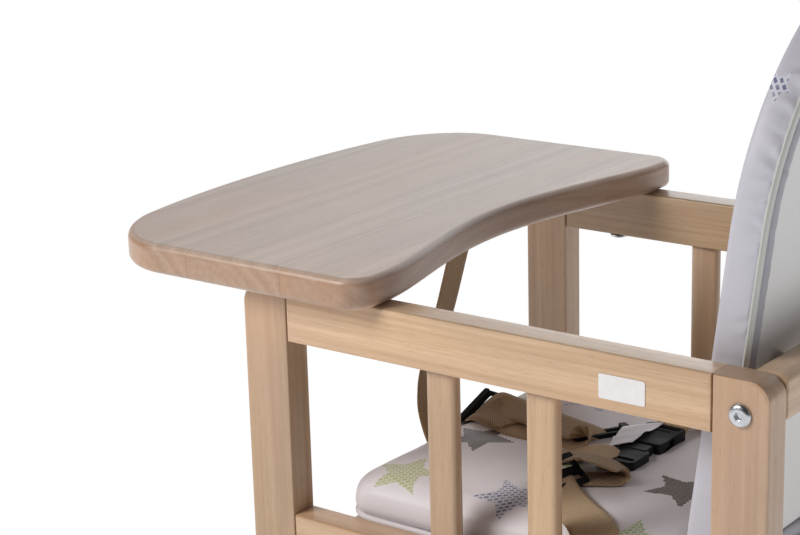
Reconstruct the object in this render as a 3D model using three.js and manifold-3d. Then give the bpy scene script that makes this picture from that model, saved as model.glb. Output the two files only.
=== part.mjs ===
// Wooden convertible baby high chair: a small armchair with a fixed tray, standing on a low table
// that doubles as its base and footrest. Millimetres, +Z up, front towards -Y, the child's left +X.
// The origin is on the floor, in the middle of the whole object's footprint.
import * as THREE from 'three';
import { mergeVertices } from 'three/addons/utils/BufferGeometryUtils.js';
import Module from 'manifold-3d';

const wasm = await Module();
wasm.setup();

// ---- driving dimensions ------------------------------------------------------------------------
const GAP = 0.3;                     // clearance between pieces that touch

// side frames of the armchair
const FRAME_OUTER_X = 214.4;         // outer face of each side frame
const FRAME_THICK = 26;
const POST_WIDTH = 43;
const FRONT_POST_Y = -174;           // front face of the front posts
const REAR_POST_Y = 238.3;           // front face of the rear posts
const CHAIR_FOOT_Z = 380.5;          // underside of the posts
const ARM_TOP_Z = 771.8;
const RAIL_HEIGHT = 42.3;
const SEAT_RAIL_Z = 543;             // underside of the seat-level side rails
const FRAME_ROUND = 2.6;             // arris radius of posts and rails
const FRONT_POST_CORNER = 16;
const REAR_POST_CORNER = 15;
const SPINDLE_WIDTH = 26;
const SPINDLE_THICK = 12;
const SPINDLE_ROUND = 4.5;
const SPINDLE_Y = { front: 9, rear: 97.4 };   // spindle centres

// cross rails and the seat
const TOP_RAIL = { y0: 253, y1: 281, z0: 736, z1: 771, round: 7 };
const SEAT_CROSS_RAIL = { thick: 22, height: 40, z0: 519.7, frontY: -96, rearY: 210 };
const SEAT_BOARD = { y0: -109, y1: 221, z0: 560, thick: 12 };
const CUSHION = { halfX: 182, y0: -112, y1: 191, z0: 572.3, thick: 43, corner: 28, round: 16 };

// reclined back
const BACK_ANGLE = THREE.MathUtils.degToRad(7.4);
const BACK_BASE_Z = 730;             // the height from which the back's lengths are measured
const BACK_FRONT_Y = 214.4;          // the back's front face at that height
const BACK_HALF_X = 179;
const BACK_ROUND_START = 129;        // where the half-round top begins, measured up the back
const BACK_BOTTOM = -150;            // lower end, measured up the back
const BACK_PAD_THICK = 15;
const BACK_BOARD_THICK = 6;
const BACK_BLOCK = { x: 120, width: 24, z0: 737, z1: 757 };

// tray
const TRAY_THICK = 24.5;
const TRAY_ROUND = 4;
const TRAY_HALF_X = 237;
const TRAY_FRONT_Y = -337;
const TRAY_BOLT = { x: 197, y: -78 };

// fasteners
const BOLT = { shank: 3, head: 8.5, headHeight: 3.2, socket: 2.6, socketDepth: 2 };
const BOLT_HOLE = 3.6;
const FRAME_BOLT = { y: 260, z: 746.6, length: 58 };
const BARREL_NUT = { radius: 5, length: 18, x: 165 };
const TRAY_BOLT_LENGTH = 52;
const INSERT = { radius: 5.2, height: 13, bore: 3.4 };

// low table under the chair
const GLIDE = { radius: 15, height: 3 };
const TABLE_TOP = { halfX: 250, y0: -256, y1: 337, z0: 362, thick: 18, corner: 22, round: 5 };
const LEG = { size: 42, x: 224, frontY: -225, rearY: 310, round: 4 };
const APRON = { thick: 20, height: 55 };
const STRETCHER = { thick: 20, height: 40, z0: 90 };
const KNOB = { radius: 16, lobes: 6, height: 14, stud: 4, studHole: 4.8, studTop: 402 };

// harness
const WEBBING_WIDTH = 38;
const WEBBING_THICK = 2.2;
const TRAY_STRAP_WIDTH = 30;
const CROTCH_WEBBING_THICK = 3;
const ADJUSTER = { width: 50, height: 11, length: 12, slotWidth: 41, slotHeight: 5 };
const BUCKLE = { length: 44, width: 36, thick: 10, slotWidth: 30, slotLength: 5, slotInset: 7, joinX: 18, y: 74 };
const LABEL = { length: 37, height: 18, thick: 0.4, y: 169.3, z: 747.5 };

// ---- materials ---------------------------------------------------------------------------------
const finish = (color, roughness, metalness = 0) =>
  new THREE.MeshStandardMaterial({ color, roughness, metalness });
const wood = finish(0xc8a985, 0.45);
const paleWood = finish(0xc3b2a6, 0.42);
const boardWhite = finish(0xd4d3d6, 0.4);
const coatedFabric = finish(0xbfb8c2, 0.5);
const webbing = finish(0x8d7254, 0.9);
const steel = finish(0xb9bdc2, 0.3, 1);
const brass = finish(0xb59a5b, 0.35, 1);
const blackPlastic = finish(0x17191b, 0.4);
const paper = finish(0xf0f0f0, 0.35);

// ---- solids ------------------------------------------------------------------------------------
function bare(geometry) {
  const plain = geometry.clone();
  plain.deleteAttribute('normal');
  plain.deleteAttribute('uv');
  return mergeVertices(plain, 1e-4);
}

function toSolid(geometry) {
  const plain = bare(geometry);
  const vertProperties = new Float32Array(plain.attributes.position.array);
  const triVerts = new Uint32Array(plain.index.array);
  return new wasm.Manifold(new wasm.Mesh({ numProp: 3, vertProperties, triVerts }));
}

function toGeometry(solid) {
  const mesh = solid.getMesh();
  const geometry = new THREE.BufferGeometry();
  geometry.setAttribute('position', new THREE.BufferAttribute(new Float32Array(mesh.vertProperties), 3));
  geometry.setIndex(new THREE.BufferAttribute(new Uint32Array(mesh.triVerts), 1));
  return geometry;
}

function cut(geometry, cutters) {
  let solid = toSolid(geometry);
  for (const cutter of cutters) solid = solid.subtract(toSolid(cutter));
  return toGeometry(solid);
}

const join = (first, second) => toGeometry(toSolid(first).add(toSolid(second)));

// A round bar centred on a point, lying along one axis.
function bar(radius, length, axis, x, y, z) {
  const geometry = new THREE.CylinderGeometry(radius, radius, length, 20);
  if (axis === 'x') geometry.rotateZ(Math.PI / 2);
  if (axis === 'z') geometry.rotateX(Math.PI / 2);
  return geometry.translate(x, y, z);
}

// A rectangle about its own centre, with one radius for each corner that is rounded.
function rectangle(width, height, corners = {}) {
  const { lowLeft = 0, lowRight = 0, topRight = 0, topLeft = 0 } = corners;
  const w = width / 2;
  const h = height / 2;
  const shape = new THREE.Shape();
  shape.moveTo(-w + lowLeft, -h);
  shape.lineTo(w - lowRight, -h);
  if (lowRight) shape.absarc(w - lowRight, -h + lowRight, lowRight, -Math.PI / 2, 0);
  shape.lineTo(w, h - topRight);
  if (topRight) shape.absarc(w - topRight, h - topRight, topRight, 0, Math.PI / 2);
  shape.lineTo(-w + topLeft, h);
  if (topLeft) shape.absarc(-w + topLeft, h - topLeft, topLeft, Math.PI / 2, Math.PI);
  shape.lineTo(-w, -h + lowLeft);
  if (lowLeft) shape.absarc(-w + lowLeft, -h + lowLeft, lowLeft, Math.PI, Math.PI * 1.5);
  return shape;
}

const allCorners = (r) => ({ lowLeft: r, lowRight: r, topRight: r, topLeft: r });

// A slab of an outline, its two broad faces' edges rounded, centred on its thickness. 'side' puts the
// outline in the YZ plane, 'front' in the XZ plane and 'flat' in the XY plane.
const X = new THREE.Vector3(1, 0, 0);
const Y = new THREE.Vector3(0, 1, 0);
const Z = new THREE.Vector3(0, 0, 1);
const FACING = {
  side: new THREE.Matrix4().makeBasis(Y, Z, X),
  front: new THREE.Matrix4().makeBasis(X, Z, Y.clone().negate()),
  flat: new THREE.Matrix4(),
};

function slab(outline, thick, round, facing, segments = 2, curveSegments = 3) {
  const geometry = new THREE.ExtrudeGeometry(outline, {
    depth: thick - 2 * round, curveSegments, bevelEnabled: round > 0, bevelSegments: segments,
    bevelThickness: round, bevelSize: round, bevelOffset: -round,
  });
  return geometry.translate(0, 0, round - thick / 2).applyMatrix4(FACING[facing]);
}

// ---- the scene ---------------------------------------------------------------------------------
const highChair = new THREE.Group();
const chair = new THREE.Group();
const table = new THREE.Group();
highChair.add(chair, table);

function place(parent, name, geometry, material, x = 0, y = 0, z = 0) {
  const mesh = new THREE.Mesh(geometry, material);
  mesh.name = name;
  mesh.position.set(x, y, z);
  parent.add(mesh);
  return mesh;
}

const SIDES = { left: 1, right: -1 };
const frameX = FRAME_OUTER_X - FRAME_THICK / 2;
const innerX = FRAME_OUTER_X - FRAME_THICK;

// ---- armchair: side frames ---------------------------------------------------------------------
function sidePost(corners) {
  const height = ARM_TOP_Z - CHAIR_FOOT_Z;
  const post = slab(rectangle(POST_WIDTH, height, corners), FRAME_THICK, FRAME_ROUND, 'side');
  return { post, height };
}

const studDepth = KNOB.studTop + 2 - CHAIR_FOOT_Z;

function addPosts(side, sign) {
  const front = sidePost({ topLeft: FRONT_POST_CORNER });
  const rear = sidePost({ topRight: REAR_POST_CORNER });
  const middleZ = CHAIR_FOOT_Z + front.height / 2;
  const footHole = () => bar(KNOB.studHole, 2 * studDepth, 'z', 0, 0, -front.height / 2);
  const rearMiddleY = REAR_POST_Y + POST_WIDTH / 2;
  const boltHole = bar(BOLT_HOLE, FRAME_THICK * 2, 'x', 0, FRAME_BOLT.y - rearMiddleY, FRAME_BOLT.z - middleZ);
  const x = sign * frameX;
  place(chair, `front_post_${side}`, cut(front.post, [footHole()]), wood, x, FRONT_POST_Y + POST_WIDTH / 2, middleZ);
  place(chair, `rear_post_${side}`, cut(rear.post, [footHole(), boltHole]), wood, x, rearMiddleY, middleZ);
}

function addSideRails(side, sign) {
  const y0 = FRONT_POST_Y + POST_WIDTH + GAP;
  const y1 = REAR_POST_Y - GAP;
  const length = y1 - y0;
  const middleY = (y0 + y1) / 2;
  const rail = () => slab(rectangle(length, RAIL_HEIGHT), FRAME_THICK, FRAME_ROUND, 'side');
  const boltX = sign * (TRAY_BOLT.x - frameX);
  const trayBoltHole = bar(BOLT_HOLE, RAIL_HEIGHT * 2, 'z', boltX, TRAY_BOLT.y - middleY, 0);
  const x = sign * frameX;
  const armZ = ARM_TOP_Z - RAIL_HEIGHT / 2;
  place(chair, `arm_rail_${side}`, cut(rail(), [trayBoltHole]), wood, x, middleY, armZ);
  place(chair, `seat_side_rail_${side}`, rail(), wood, x, middleY, SEAT_RAIL_Z + RAIL_HEIGHT / 2);
}

function addSpindles(side, sign) {
  const z0 = SEAT_RAIL_Z + RAIL_HEIGHT + GAP;
  const height = ARM_TOP_Z - RAIL_HEIGHT - GAP - z0;
  for (const [where, y] of Object.entries(SPINDLE_Y)) {
    const spindle = slab(rectangle(SPINDLE_WIDTH, height), SPINDLE_THICK, SPINDLE_ROUND, 'side', 3);
    place(chair, `spindle_${where}_${side}`, spindle, wood, sign * frameX, y, z0 + height / 2);
  }
}

// ---- armchair: cross rails, seat board and cushion -----------------------------------------------
function addTopRail() {
  const { y0, y1, z0, z1, round } = TOP_RAIL;
  const length = 2 * (innerX - GAP);
  const middleY = (y0 + y1) / 2;
  const middleZ = (z0 + z1) / 2;
  const section = rectangle(y1 - y0, z1 - z0, allCorners(round));
  const rail = slab(section, length, 1.2, 'side', 1);
  const holes = [];
  for (const sign of Object.values(SIDES)) {
    const depth = innerX - BARREL_NUT.x + 12;
    const y = FRAME_BOLT.y - middleY;
    holes.push(bar(BOLT_HOLE, 2 * depth, 'x', sign * innerX, y, FRAME_BOLT.z - middleZ));
    holes.push(bar(BARREL_NUT.radius + GAP, 2 * BARREL_NUT.length + 1, 'z', sign * BARREL_NUT.x, y, 1 - (z1 - z0) / 2));
  }
  place(chair, 'top_rail', cut(rail, holes), wood, 0, middleY, middleZ);
}

function addSeat() {
  const length = 2 * (innerX - GAP);
  const { thick, height, z0, frontY, rearY } = SEAT_CROSS_RAIL;
  for (const [name, y] of [['seat_front_rail', frontY], ['seat_rear_rail', rearY]]) {
    const rail = slab(rectangle(length, height), thick, FRAME_ROUND, 'front');
    place(chair, name, rail, wood, 0, y, z0 + height / 2);
  }
  const board = slab(rectangle(length, SEAT_BOARD.y1 - SEAT_BOARD.y0, allCorners(8)), SEAT_BOARD.thick, 1.5, 'flat');
  const boardZ = SEAT_BOARD.z0 + SEAT_BOARD.thick / 2;
  place(chair, 'seat_board', board, paleWood, 0, (SEAT_BOARD.y0 + SEAT_BOARD.y1) / 2, boardZ);
  const outline = rectangle(2 * CUSHION.halfX, CUSHION.y1 - CUSHION.y0, allCorners(CUSHION.corner));
  const cushion = slab(outline, CUSHION.thick, CUSHION.round, 'flat', 3);
  const cushionY = (CUSHION.y0 + CUSHION.y1) / 2;
  place(chair, 'seat_cushion', cushion, coatedFabric, 0, cushionY, CUSHION.z0 + CUSHION.thick / 2);
}

// ---- armchair: reclined back ---------------------------------------------------------------------
function backOutline(halfWidth) {
  const shape = new THREE.Shape();
  const foot = 9;
  shape.moveTo(-halfWidth + foot, BACK_BOTTOM);
  shape.lineTo(halfWidth - foot, BACK_BOTTOM);
  shape.lineTo(halfWidth, BACK_BOTTOM + foot);
  shape.lineTo(halfWidth, BACK_ROUND_START);
  shape.absarc(0, BACK_ROUND_START, halfWidth, 0, Math.PI);
  shape.lineTo(-halfWidth, BACK_BOTTOM + foot);
  return shape;
}

function addBack() {
  const back = new THREE.Group();
  back.position.set(0, BACK_FRONT_Y, BACK_BASE_Z);
  back.rotation.x = -BACK_ANGLE;
  chair.add(back);
  const pad = slab(backOutline(BACK_HALF_X), BACK_PAD_THICK, 5, 'front', 2, 16);
  const board = slab(backOutline(BACK_HALF_X - 3), BACK_BOARD_THICK, 1, 'front', 1, 16);
  place(back, 'back_cushion', pad, coatedFabric, 0, BACK_PAD_THICK / 2, 0);
  place(back, 'back_board', board, boardWhite, 0, BACK_PAD_THICK + GAP + BACK_BOARD_THICK / 2, 0);

  const slope = Math.tan(BACK_ANGLE);
  const depth = (BACK_PAD_THICK + GAP + BACK_BOARD_THICK + 2 * GAP) / Math.cos(BACK_ANGLE);
  const boardRearY = (z) => BACK_FRONT_Y + (z - BACK_BASE_Z) * slope + depth;
  const { x, width, z0, z1 } = BACK_BLOCK;
  const rearY = TOP_RAIL.y0 - GAP;
  const outline = new THREE.Shape();
  outline.moveTo(boardRearY(z0), z0);
  outline.lineTo(rearY, z0);
  outline.lineTo(rearY, z1);
  outline.lineTo(boardRearY(z1), z1);
  for (const [side, sign] of Object.entries(SIDES)) {
    place(chair, `back_block_${side}`, slab(outline, width, 1, 'side', 1), wood, sign * x, 0, 0);
  }
}

// ---- tray ------------------------------------------------------------------------------------------
// The outline runs round from the middle of the slightly bowed front edge, past a wide front corner, a
// straight side and a rear corner, along the waved edge that curves in round the child.
function trayOutline() {
  const shape = new THREE.Shape();
  const corner = { x: 168, y: TRAY_FRONT_Y + 10.5 };
  const side = { x: TRAY_HALF_X, frontY: -253 };
  const rear = { x: 200, y: -40.5, corner: 22 };
  const middleY = -73.5;
  shape.moveTo(0, TRAY_FRONT_Y);
  shape.quadraticCurveTo(90, TRAY_FRONT_Y, corner.x, corner.y);
  shape.bezierCurveTo(205, -322, side.x, -291, side.x, side.frontY);
  shape.lineTo(side.x, rear.y - rear.corner);
  shape.absarc(side.x - rear.corner, rear.y - rear.corner, rear.corner, 0, Math.PI / 2);
  shape.lineTo(rear.x, rear.y);
  shape.bezierCurveTo(155, rear.y - 0.5, 85, middleY, 0, middleY);
  shape.bezierCurveTo(-85, middleY, -155, rear.y - 0.5, -rear.x, rear.y);
  shape.lineTo(rear.corner - side.x, rear.y);
  shape.absarc(rear.corner - side.x, rear.y - rear.corner, rear.corner, Math.PI / 2, Math.PI);
  shape.lineTo(-side.x, side.frontY);
  shape.bezierCurveTo(-side.x, -291, -205, -322, -corner.x, corner.y);
  shape.quadraticCurveTo(-90, TRAY_FRONT_Y, 0, TRAY_FRONT_Y);
  return shape;
}

function addTray() {
  const z = ARM_TOP_Z + GAP;
  const holes = Object.values(SIDES).map((sign) =>
    bar(INSERT.radius + GAP, 2 * (INSERT.height + 1), 'z', sign * TRAY_BOLT.x, TRAY_BOLT.y, -TRAY_THICK / 2));
  const board = cut(slab(trayOutline(), TRAY_THICK, TRAY_ROUND, 'flat', 3, 8), holes);
  place(chair, 'tray', board, paleWood, 0, 0, z + TRAY_THICK / 2);
  const ring = new THREE.Shape().absarc(0, 0, INSERT.radius, 0, 2 * Math.PI);
  ring.holes.push(new THREE.Path().absarc(0, 0, INSERT.bore, 0, 2 * Math.PI));
  for (const [side, sign] of Object.entries(SIDES)) {
    const insert = slab(ring, INSERT.height, 0, 'flat', 1, 10);
    place(chair, `tray_insert_${side}`, insert, brass, sign * TRAY_BOLT.x, TRAY_BOLT.y, z + 0.2 + INSERT.height / 2);
  }
}

// ---- fasteners -------------------------------------------------------------------------------------
// A button-head screw with a round drive recess, its head towards +Y and its shank down to -length.
function screw(length) {
  const { shank, head, headHeight, socket, socketDepth } = BOLT;
  const profile = [
    [0, -length], [shank - 0.6, -length], [shank, -length + 0.8], [shank, 0], [head, 0], [head, 0.9],
    [head - 0.9, 2.1], [head - 2.6, 2.9], [socket + 1, headHeight], [socket, headHeight],
    [socket, headHeight - socketDepth], [0, headHeight - socketDepth],
  ];
  return new THREE.LatheGeometry(profile.map(([r, y]) => new THREE.Vector2(r, y)), 16);
}

function addFasteners(side, sign) {
  const frameBolt = place(chair, `frame_bolt_${side}`, screw(FRAME_BOLT.length), steel,
    sign * (FRAME_OUTER_X + GAP), FRAME_BOLT.y, FRAME_BOLT.z);
  frameBolt.rotation.z = -sign * Math.PI / 2;
  const trayBolt = place(chair, `tray_bolt_${side}`, screw(TRAY_BOLT_LENGTH), steel,
    sign * TRAY_BOLT.x, TRAY_BOLT.y, ARM_TOP_Z - RAIL_HEIGHT - GAP);
  trayBolt.rotation.x = -Math.PI / 2;
  const nutZ = TOP_RAIL.z0 + 1 + BARREL_NUT.length / 2;
  const boltHole = bar(BOLT.shank + GAP, 4 * BARREL_NUT.radius, 'x', 0, 0, FRAME_BOLT.z - nutZ);
  const nut = cut(bar(BARREL_NUT.radius, BARREL_NUT.length, 'z', 0, 0, 0), [boltHole]);
  place(chair, `barrel_nut_${side}`, nut, steel, sign * BARREL_NUT.x, FRAME_BOLT.y, nutZ);
}

// ---- harness ---------------------------------------------------------------------------------------
// Webbing swept along a path in a vertical plane, its broad face across that plane. Each path point is
// [distance along the ground, height].
function strap(points, width, thick, steps) {
  const path = new THREE.CatmullRomCurve3(points.map(([y, z]) => new THREE.Vector3(0, y, z)));
  return new THREE.ExtrudeGeometry(rectangle(width, thick), { extrudePath: path, steps, curveSegments: 1 });
}

// The strap that hangs from the tray's underside down to the front seat rail, in a forward bow.
function addTrayStrap() {
  const path = [
    [-114, 770.6], [-120, 750], [-133, 705], [-142, 678], [-152, 644], [-155, 625], [-154.5, 605],
    [-146, 580], [-131, 560], [-113, 543], [-108.6, 532],
  ];
  place(chair, 'tray_strap', strap(path, TRAY_STRAP_WIDTH, WEBBING_THICK, 24), webbing);
}

function adjuster() {
  const ring = rectangle(ADJUSTER.width, ADJUSTER.height, allCorners(3));
  ring.holes.push(rectangle(ADJUSTER.slotWidth, ADJUSTER.slotHeight));
  return slab(ring, ADJUSTER.length, 0, 'front', 1, 3);
}

// One half of the waist buckle: a flat body with a slot for its webbing near its outer, +X end.
function buckleHalf() {
  const { length, width, thick, slotWidth, slotLength, slotInset } = BUCKLE;
  const body = slab(rectangle(length, width, allCorners(5)), thick, 1.5, 'flat');
  const slot = slab(rectangle(slotLength, slotWidth), 2 * thick, 0, 'flat');
  return cut(body, [slot.translate(length / 2 - slotInset, 0, 0)]);
}

const cushionTopZ = CUSHION.z0 + CUSHION.thick;
const adjusterZ = cushionTopZ + ADJUSTER.height / 2 + 2 * GAP;

function addHarness() {
  const flatZ = adjusterZ + 0.1;
  const crotch = [[-98, flatZ - 0.6], [-78, flatZ], [-40, flatZ], [-20, flatZ], [10, flatZ - 0.6], [34, flatZ - 2.2]];
  place(chair, 'crotch_webbing', strap(crotch, WEBBING_WIDTH, CROTCH_WEBBING_THICK, 14), webbing);
  place(chair, 'crotch_adjuster', adjuster(), blackPlastic, 0, -78, adjusterZ);

  // each waist belt starts beside the cushion and runs inwards across it
  const belts = {
    left: { x: 173, y: 120, turn: 136, length: 84 },
    right: { x: -172, y: 122, turn: -106, length: 100 },
  };
  for (const [side, belt] of Object.entries(belts)) {
    const flat = new THREE.Group();
    flat.position.set(belt.x, belt.y, 0);
    flat.rotation.z = THREE.MathUtils.degToRad(belt.turn);
    chair.add(flat);
    const path = [[2, flatZ - 2.2], [12, flatZ - 0.6], [belt.length / 2, flatZ - 0.2], [belt.length, flatZ - 0.6]];
    place(flat, `waist_belt_${side}`, strap(path, WEBBING_WIDTH, WEBBING_THICK, 12), webbing);
    place(flat, `waist_adjuster_${side}`, adjuster(), blackPlastic, 0, belt.length - 22, adjusterZ);
  }
  // the closed buckle lies across the middle, its socket pulling off towards the child's right
  const buckleZ = cushionTopZ + 1.5 + BUCKLE.thick / 2;
  const reach = BUCKLE.length / 2 + GAP;
  const { joinX, y } = BUCKLE;
  place(chair, 'buckle_plug', buckleHalf(), blackPlastic, joinX + reach, y, buckleZ);
  place(chair, 'buckle_socket', buckleHalf(), blackPlastic, joinX - reach, y, buckleZ).rotation.z = Math.PI;
}

function addLabel() {
  const outline = rectangle(LABEL.length, LABEL.height, allCorners(1.5));
  const x = FRAME_OUTER_X + 0.1 + LABEL.thick / 2;
  place(chair, 'blank_label', slab(outline, LABEL.thick, 0, 'side', 1, 2), paper, x, LABEL.y, LABEL.z);
}

// ---- low table -------------------------------------------------------------------------------------
const postMiddles = { front: FRONT_POST_Y + POST_WIDTH / 2, rear: REAR_POST_Y + POST_WIDTH / 2 };

function addTableTop() {
  const { halfX, y0, y1, z0, thick, corner, round } = TABLE_TOP;
  const middleY = (y0 + y1) / 2;
  const holes = [];
  for (const sign of Object.values(SIDES)) {
    for (const y of Object.values(postMiddles)) {
      holes.push(bar(KNOB.studHole, 2 * thick, 'z', sign * frameX, y - middleY, 0));
    }
  }
  const board = cut(slab(rectangle(2 * halfX, y1 - y0, allCorners(corner)), thick, round, 'flat', 3), holes);
  place(table, 'table_top', board, paleWood, 0, middleY, z0 + thick / 2);
}

function addLegs() {
  const z0 = GLIDE.height + GAP;
  const height = TABLE_TOP.z0 - GAP - z0;
  const profile = [[0, 0], [GLIDE.radius - 2, 0], [GLIDE.radius, 1.2], [GLIDE.radius, GLIDE.height], [0, GLIDE.height]];
  for (const [side, sign] of Object.entries(SIDES)) {
    for (const [where, y] of [['front', LEG.frontY], ['rear', LEG.rearY]]) {
      const leg = slab(rectangle(LEG.size, height), LEG.size, LEG.round, 'side', 3);
      place(table, `leg_${where}_${side}`, leg, wood, sign * LEG.x, y, z0 + height / 2);
      const glide = new THREE.LatheGeometry(profile.map(([r, z]) => new THREE.Vector2(r, z)), 20);
      place(table, `glide_${where}_${side}`, glide, blackPlastic, sign * LEG.x, y, 0).rotation.x = Math.PI / 2;
    }
  }
}

function addTableRails() {
  const half = LEG.size / 2 + GAP;
  const sideLength = LEG.rearY - LEG.frontY - 2 * half;
  const crossLength = 2 * (LEG.x - half);
  const middleY = (LEG.frontY + LEG.rearY) / 2;
  const apronZ = TABLE_TOP.z0 - GAP - APRON.height / 2;
  const stretcherZ = STRETCHER.z0 + STRETCHER.height / 2;
  for (const [side, sign] of Object.entries(SIDES)) {
    const apron = slab(rectangle(sideLength, APRON.height), APRON.thick, FRAME_ROUND, 'side');
    place(table, `side_apron_${side}`, apron, wood, sign * (LEG.x + 8), middleY, apronZ);
    const stretcher = slab(rectangle(sideLength, STRETCHER.height), STRETCHER.thick, FRAME_ROUND, 'side');
    place(table, `side_stretcher_${side}`, stretcher, wood, sign * LEG.x, middleY, stretcherZ);
  }
  for (const [where, y] of [['front', LEG.frontY], ['rear', LEG.rearY]]) {
    const apron = slab(rectangle(crossLength, APRON.height), APRON.thick, FRAME_ROUND, 'front');
    place(table, `${where}_apron`, apron, wood, 0, y, apronZ);
  }
  const stretcher = slab(rectangle(crossLength, STRETCHER.height), STRETCHER.thick, FRAME_ROUND, 'front');
  place(table, 'rear_stretcher', stretcher, wood, 0, LEG.rearY, stretcherZ);
}

// Hand screws under the table top, their studs running up into the chair's feet.
function knobOutline() {
  const shape = new THREE.Shape();
  const steps = KNOB.lobes * 5;
  for (let i = 0; i < steps; i += 1) {
    const angle = (2 * Math.PI * i) / steps;
    const radius = KNOB.radius - 1.5 + 1.5 * Math.cos(KNOB.lobes * angle);
    const x = radius * Math.cos(angle);
    const y = radius * Math.sin(angle);
    if (i === 0) shape.moveTo(x, y);
    else shape.lineTo(x, y);
  }
  return shape;
}

function addKnobs() {
  const topZ = TABLE_TOP.z0 - 0.5;
  const grip = slab(knobOutline(), KNOB.height, 2, 'flat').translate(0, 0, -KNOB.height / 2);
  const studLength = KNOB.studTop - topZ + 4;
  const knob = join(grip, bar(KNOB.stud, studLength, 'z', 0, 0, studLength / 2 - 4));
  for (const [side, sign] of Object.entries(SIDES)) {
    for (const [where, y] of Object.entries(postMiddles)) {
      place(table, `hand_screw_${where}_${side}`, knob.clone(), blackPlastic, sign * frameX, y, topZ);
    }
  }
}

// ---- assembly --------------------------------------------------------------------------------------
for (const [side, sign] of Object.entries(SIDES)) {
  addPosts(side, sign);
  addSideRails(side, sign);
  addSpindles(side, sign);
  addFasteners(side, sign);
}
addTopRail();
addSeat();
addBack();
addTray();
addTrayStrap();
addHarness();
addLabel();
addTableTop();
addLegs();
addTableRails();
addKnobs();

export default highChair;
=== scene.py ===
"""Looks of a convertible wooden baby high chair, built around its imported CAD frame.

Metres, +Z up, front towards -Y, the child's left towards +X. The origin is on the floor.
"""

import math

import bmesh
import bpy
from mathutils import Matrix, Vector, noise


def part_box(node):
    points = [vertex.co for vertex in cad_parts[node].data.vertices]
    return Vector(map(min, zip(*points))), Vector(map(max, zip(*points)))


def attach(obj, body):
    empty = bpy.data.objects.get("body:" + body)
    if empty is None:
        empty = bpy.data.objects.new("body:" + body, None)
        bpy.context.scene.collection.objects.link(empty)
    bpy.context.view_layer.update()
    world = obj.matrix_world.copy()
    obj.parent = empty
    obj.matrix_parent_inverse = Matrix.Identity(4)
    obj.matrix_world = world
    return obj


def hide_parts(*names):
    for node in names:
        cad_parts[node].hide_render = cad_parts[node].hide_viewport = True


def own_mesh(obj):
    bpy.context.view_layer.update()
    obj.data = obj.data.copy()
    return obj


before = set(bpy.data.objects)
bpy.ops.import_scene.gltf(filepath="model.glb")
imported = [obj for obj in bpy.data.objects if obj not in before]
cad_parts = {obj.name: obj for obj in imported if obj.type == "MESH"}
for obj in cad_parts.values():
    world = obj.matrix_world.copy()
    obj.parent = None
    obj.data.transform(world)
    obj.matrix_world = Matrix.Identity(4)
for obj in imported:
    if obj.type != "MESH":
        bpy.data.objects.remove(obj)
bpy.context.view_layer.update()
bpy.context.scene.view_settings.view_transform = "Standard"

MM = 0.001
CHAIR = "chair"


# ---- camera ------------------------------------------------------------------------------------
# fitted to the frame's own straight edges and right angles in the photo
CAMERA_PLACE = Vector((1.35944, 0.84991, 1.21836))
CAMERA_AZIMUTH, CAMERA_ELEVATION, CAMERA_ROLL = (math.radians(d) for d in (127.183, 15.989, -1.581))
CAMERA_LENS = 91.95


def add_camera():
    data = bpy.data.cameras.new("camera")
    data.lens = CAMERA_LENS
    data.sensor_width = 36
    data.clip_start, data.clip_end = 0.05, 100
    camera = bpy.data.objects.new("camera", data)
    bpy.context.scene.collection.objects.link(camera)
    level = math.cos(CAMERA_ELEVATION)
    back = Vector((math.sin(CAMERA_AZIMUTH) * level, -math.cos(CAMERA_AZIMUTH) * level,
                   math.sin(CAMERA_ELEVATION)))
    right = (-back).cross(Vector((0, 0, 1))).normalized()
    up = right.cross(-back)
    turn = Matrix((right, up, back)).transposed() @ Matrix.Rotation(CAMERA_ROLL, 3, "Z")
    camera.matrix_world = Matrix.Translation(CAMERA_PLACE) @ turn.to_4x4()
    bpy.context.scene.camera = camera


add_camera()


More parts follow.
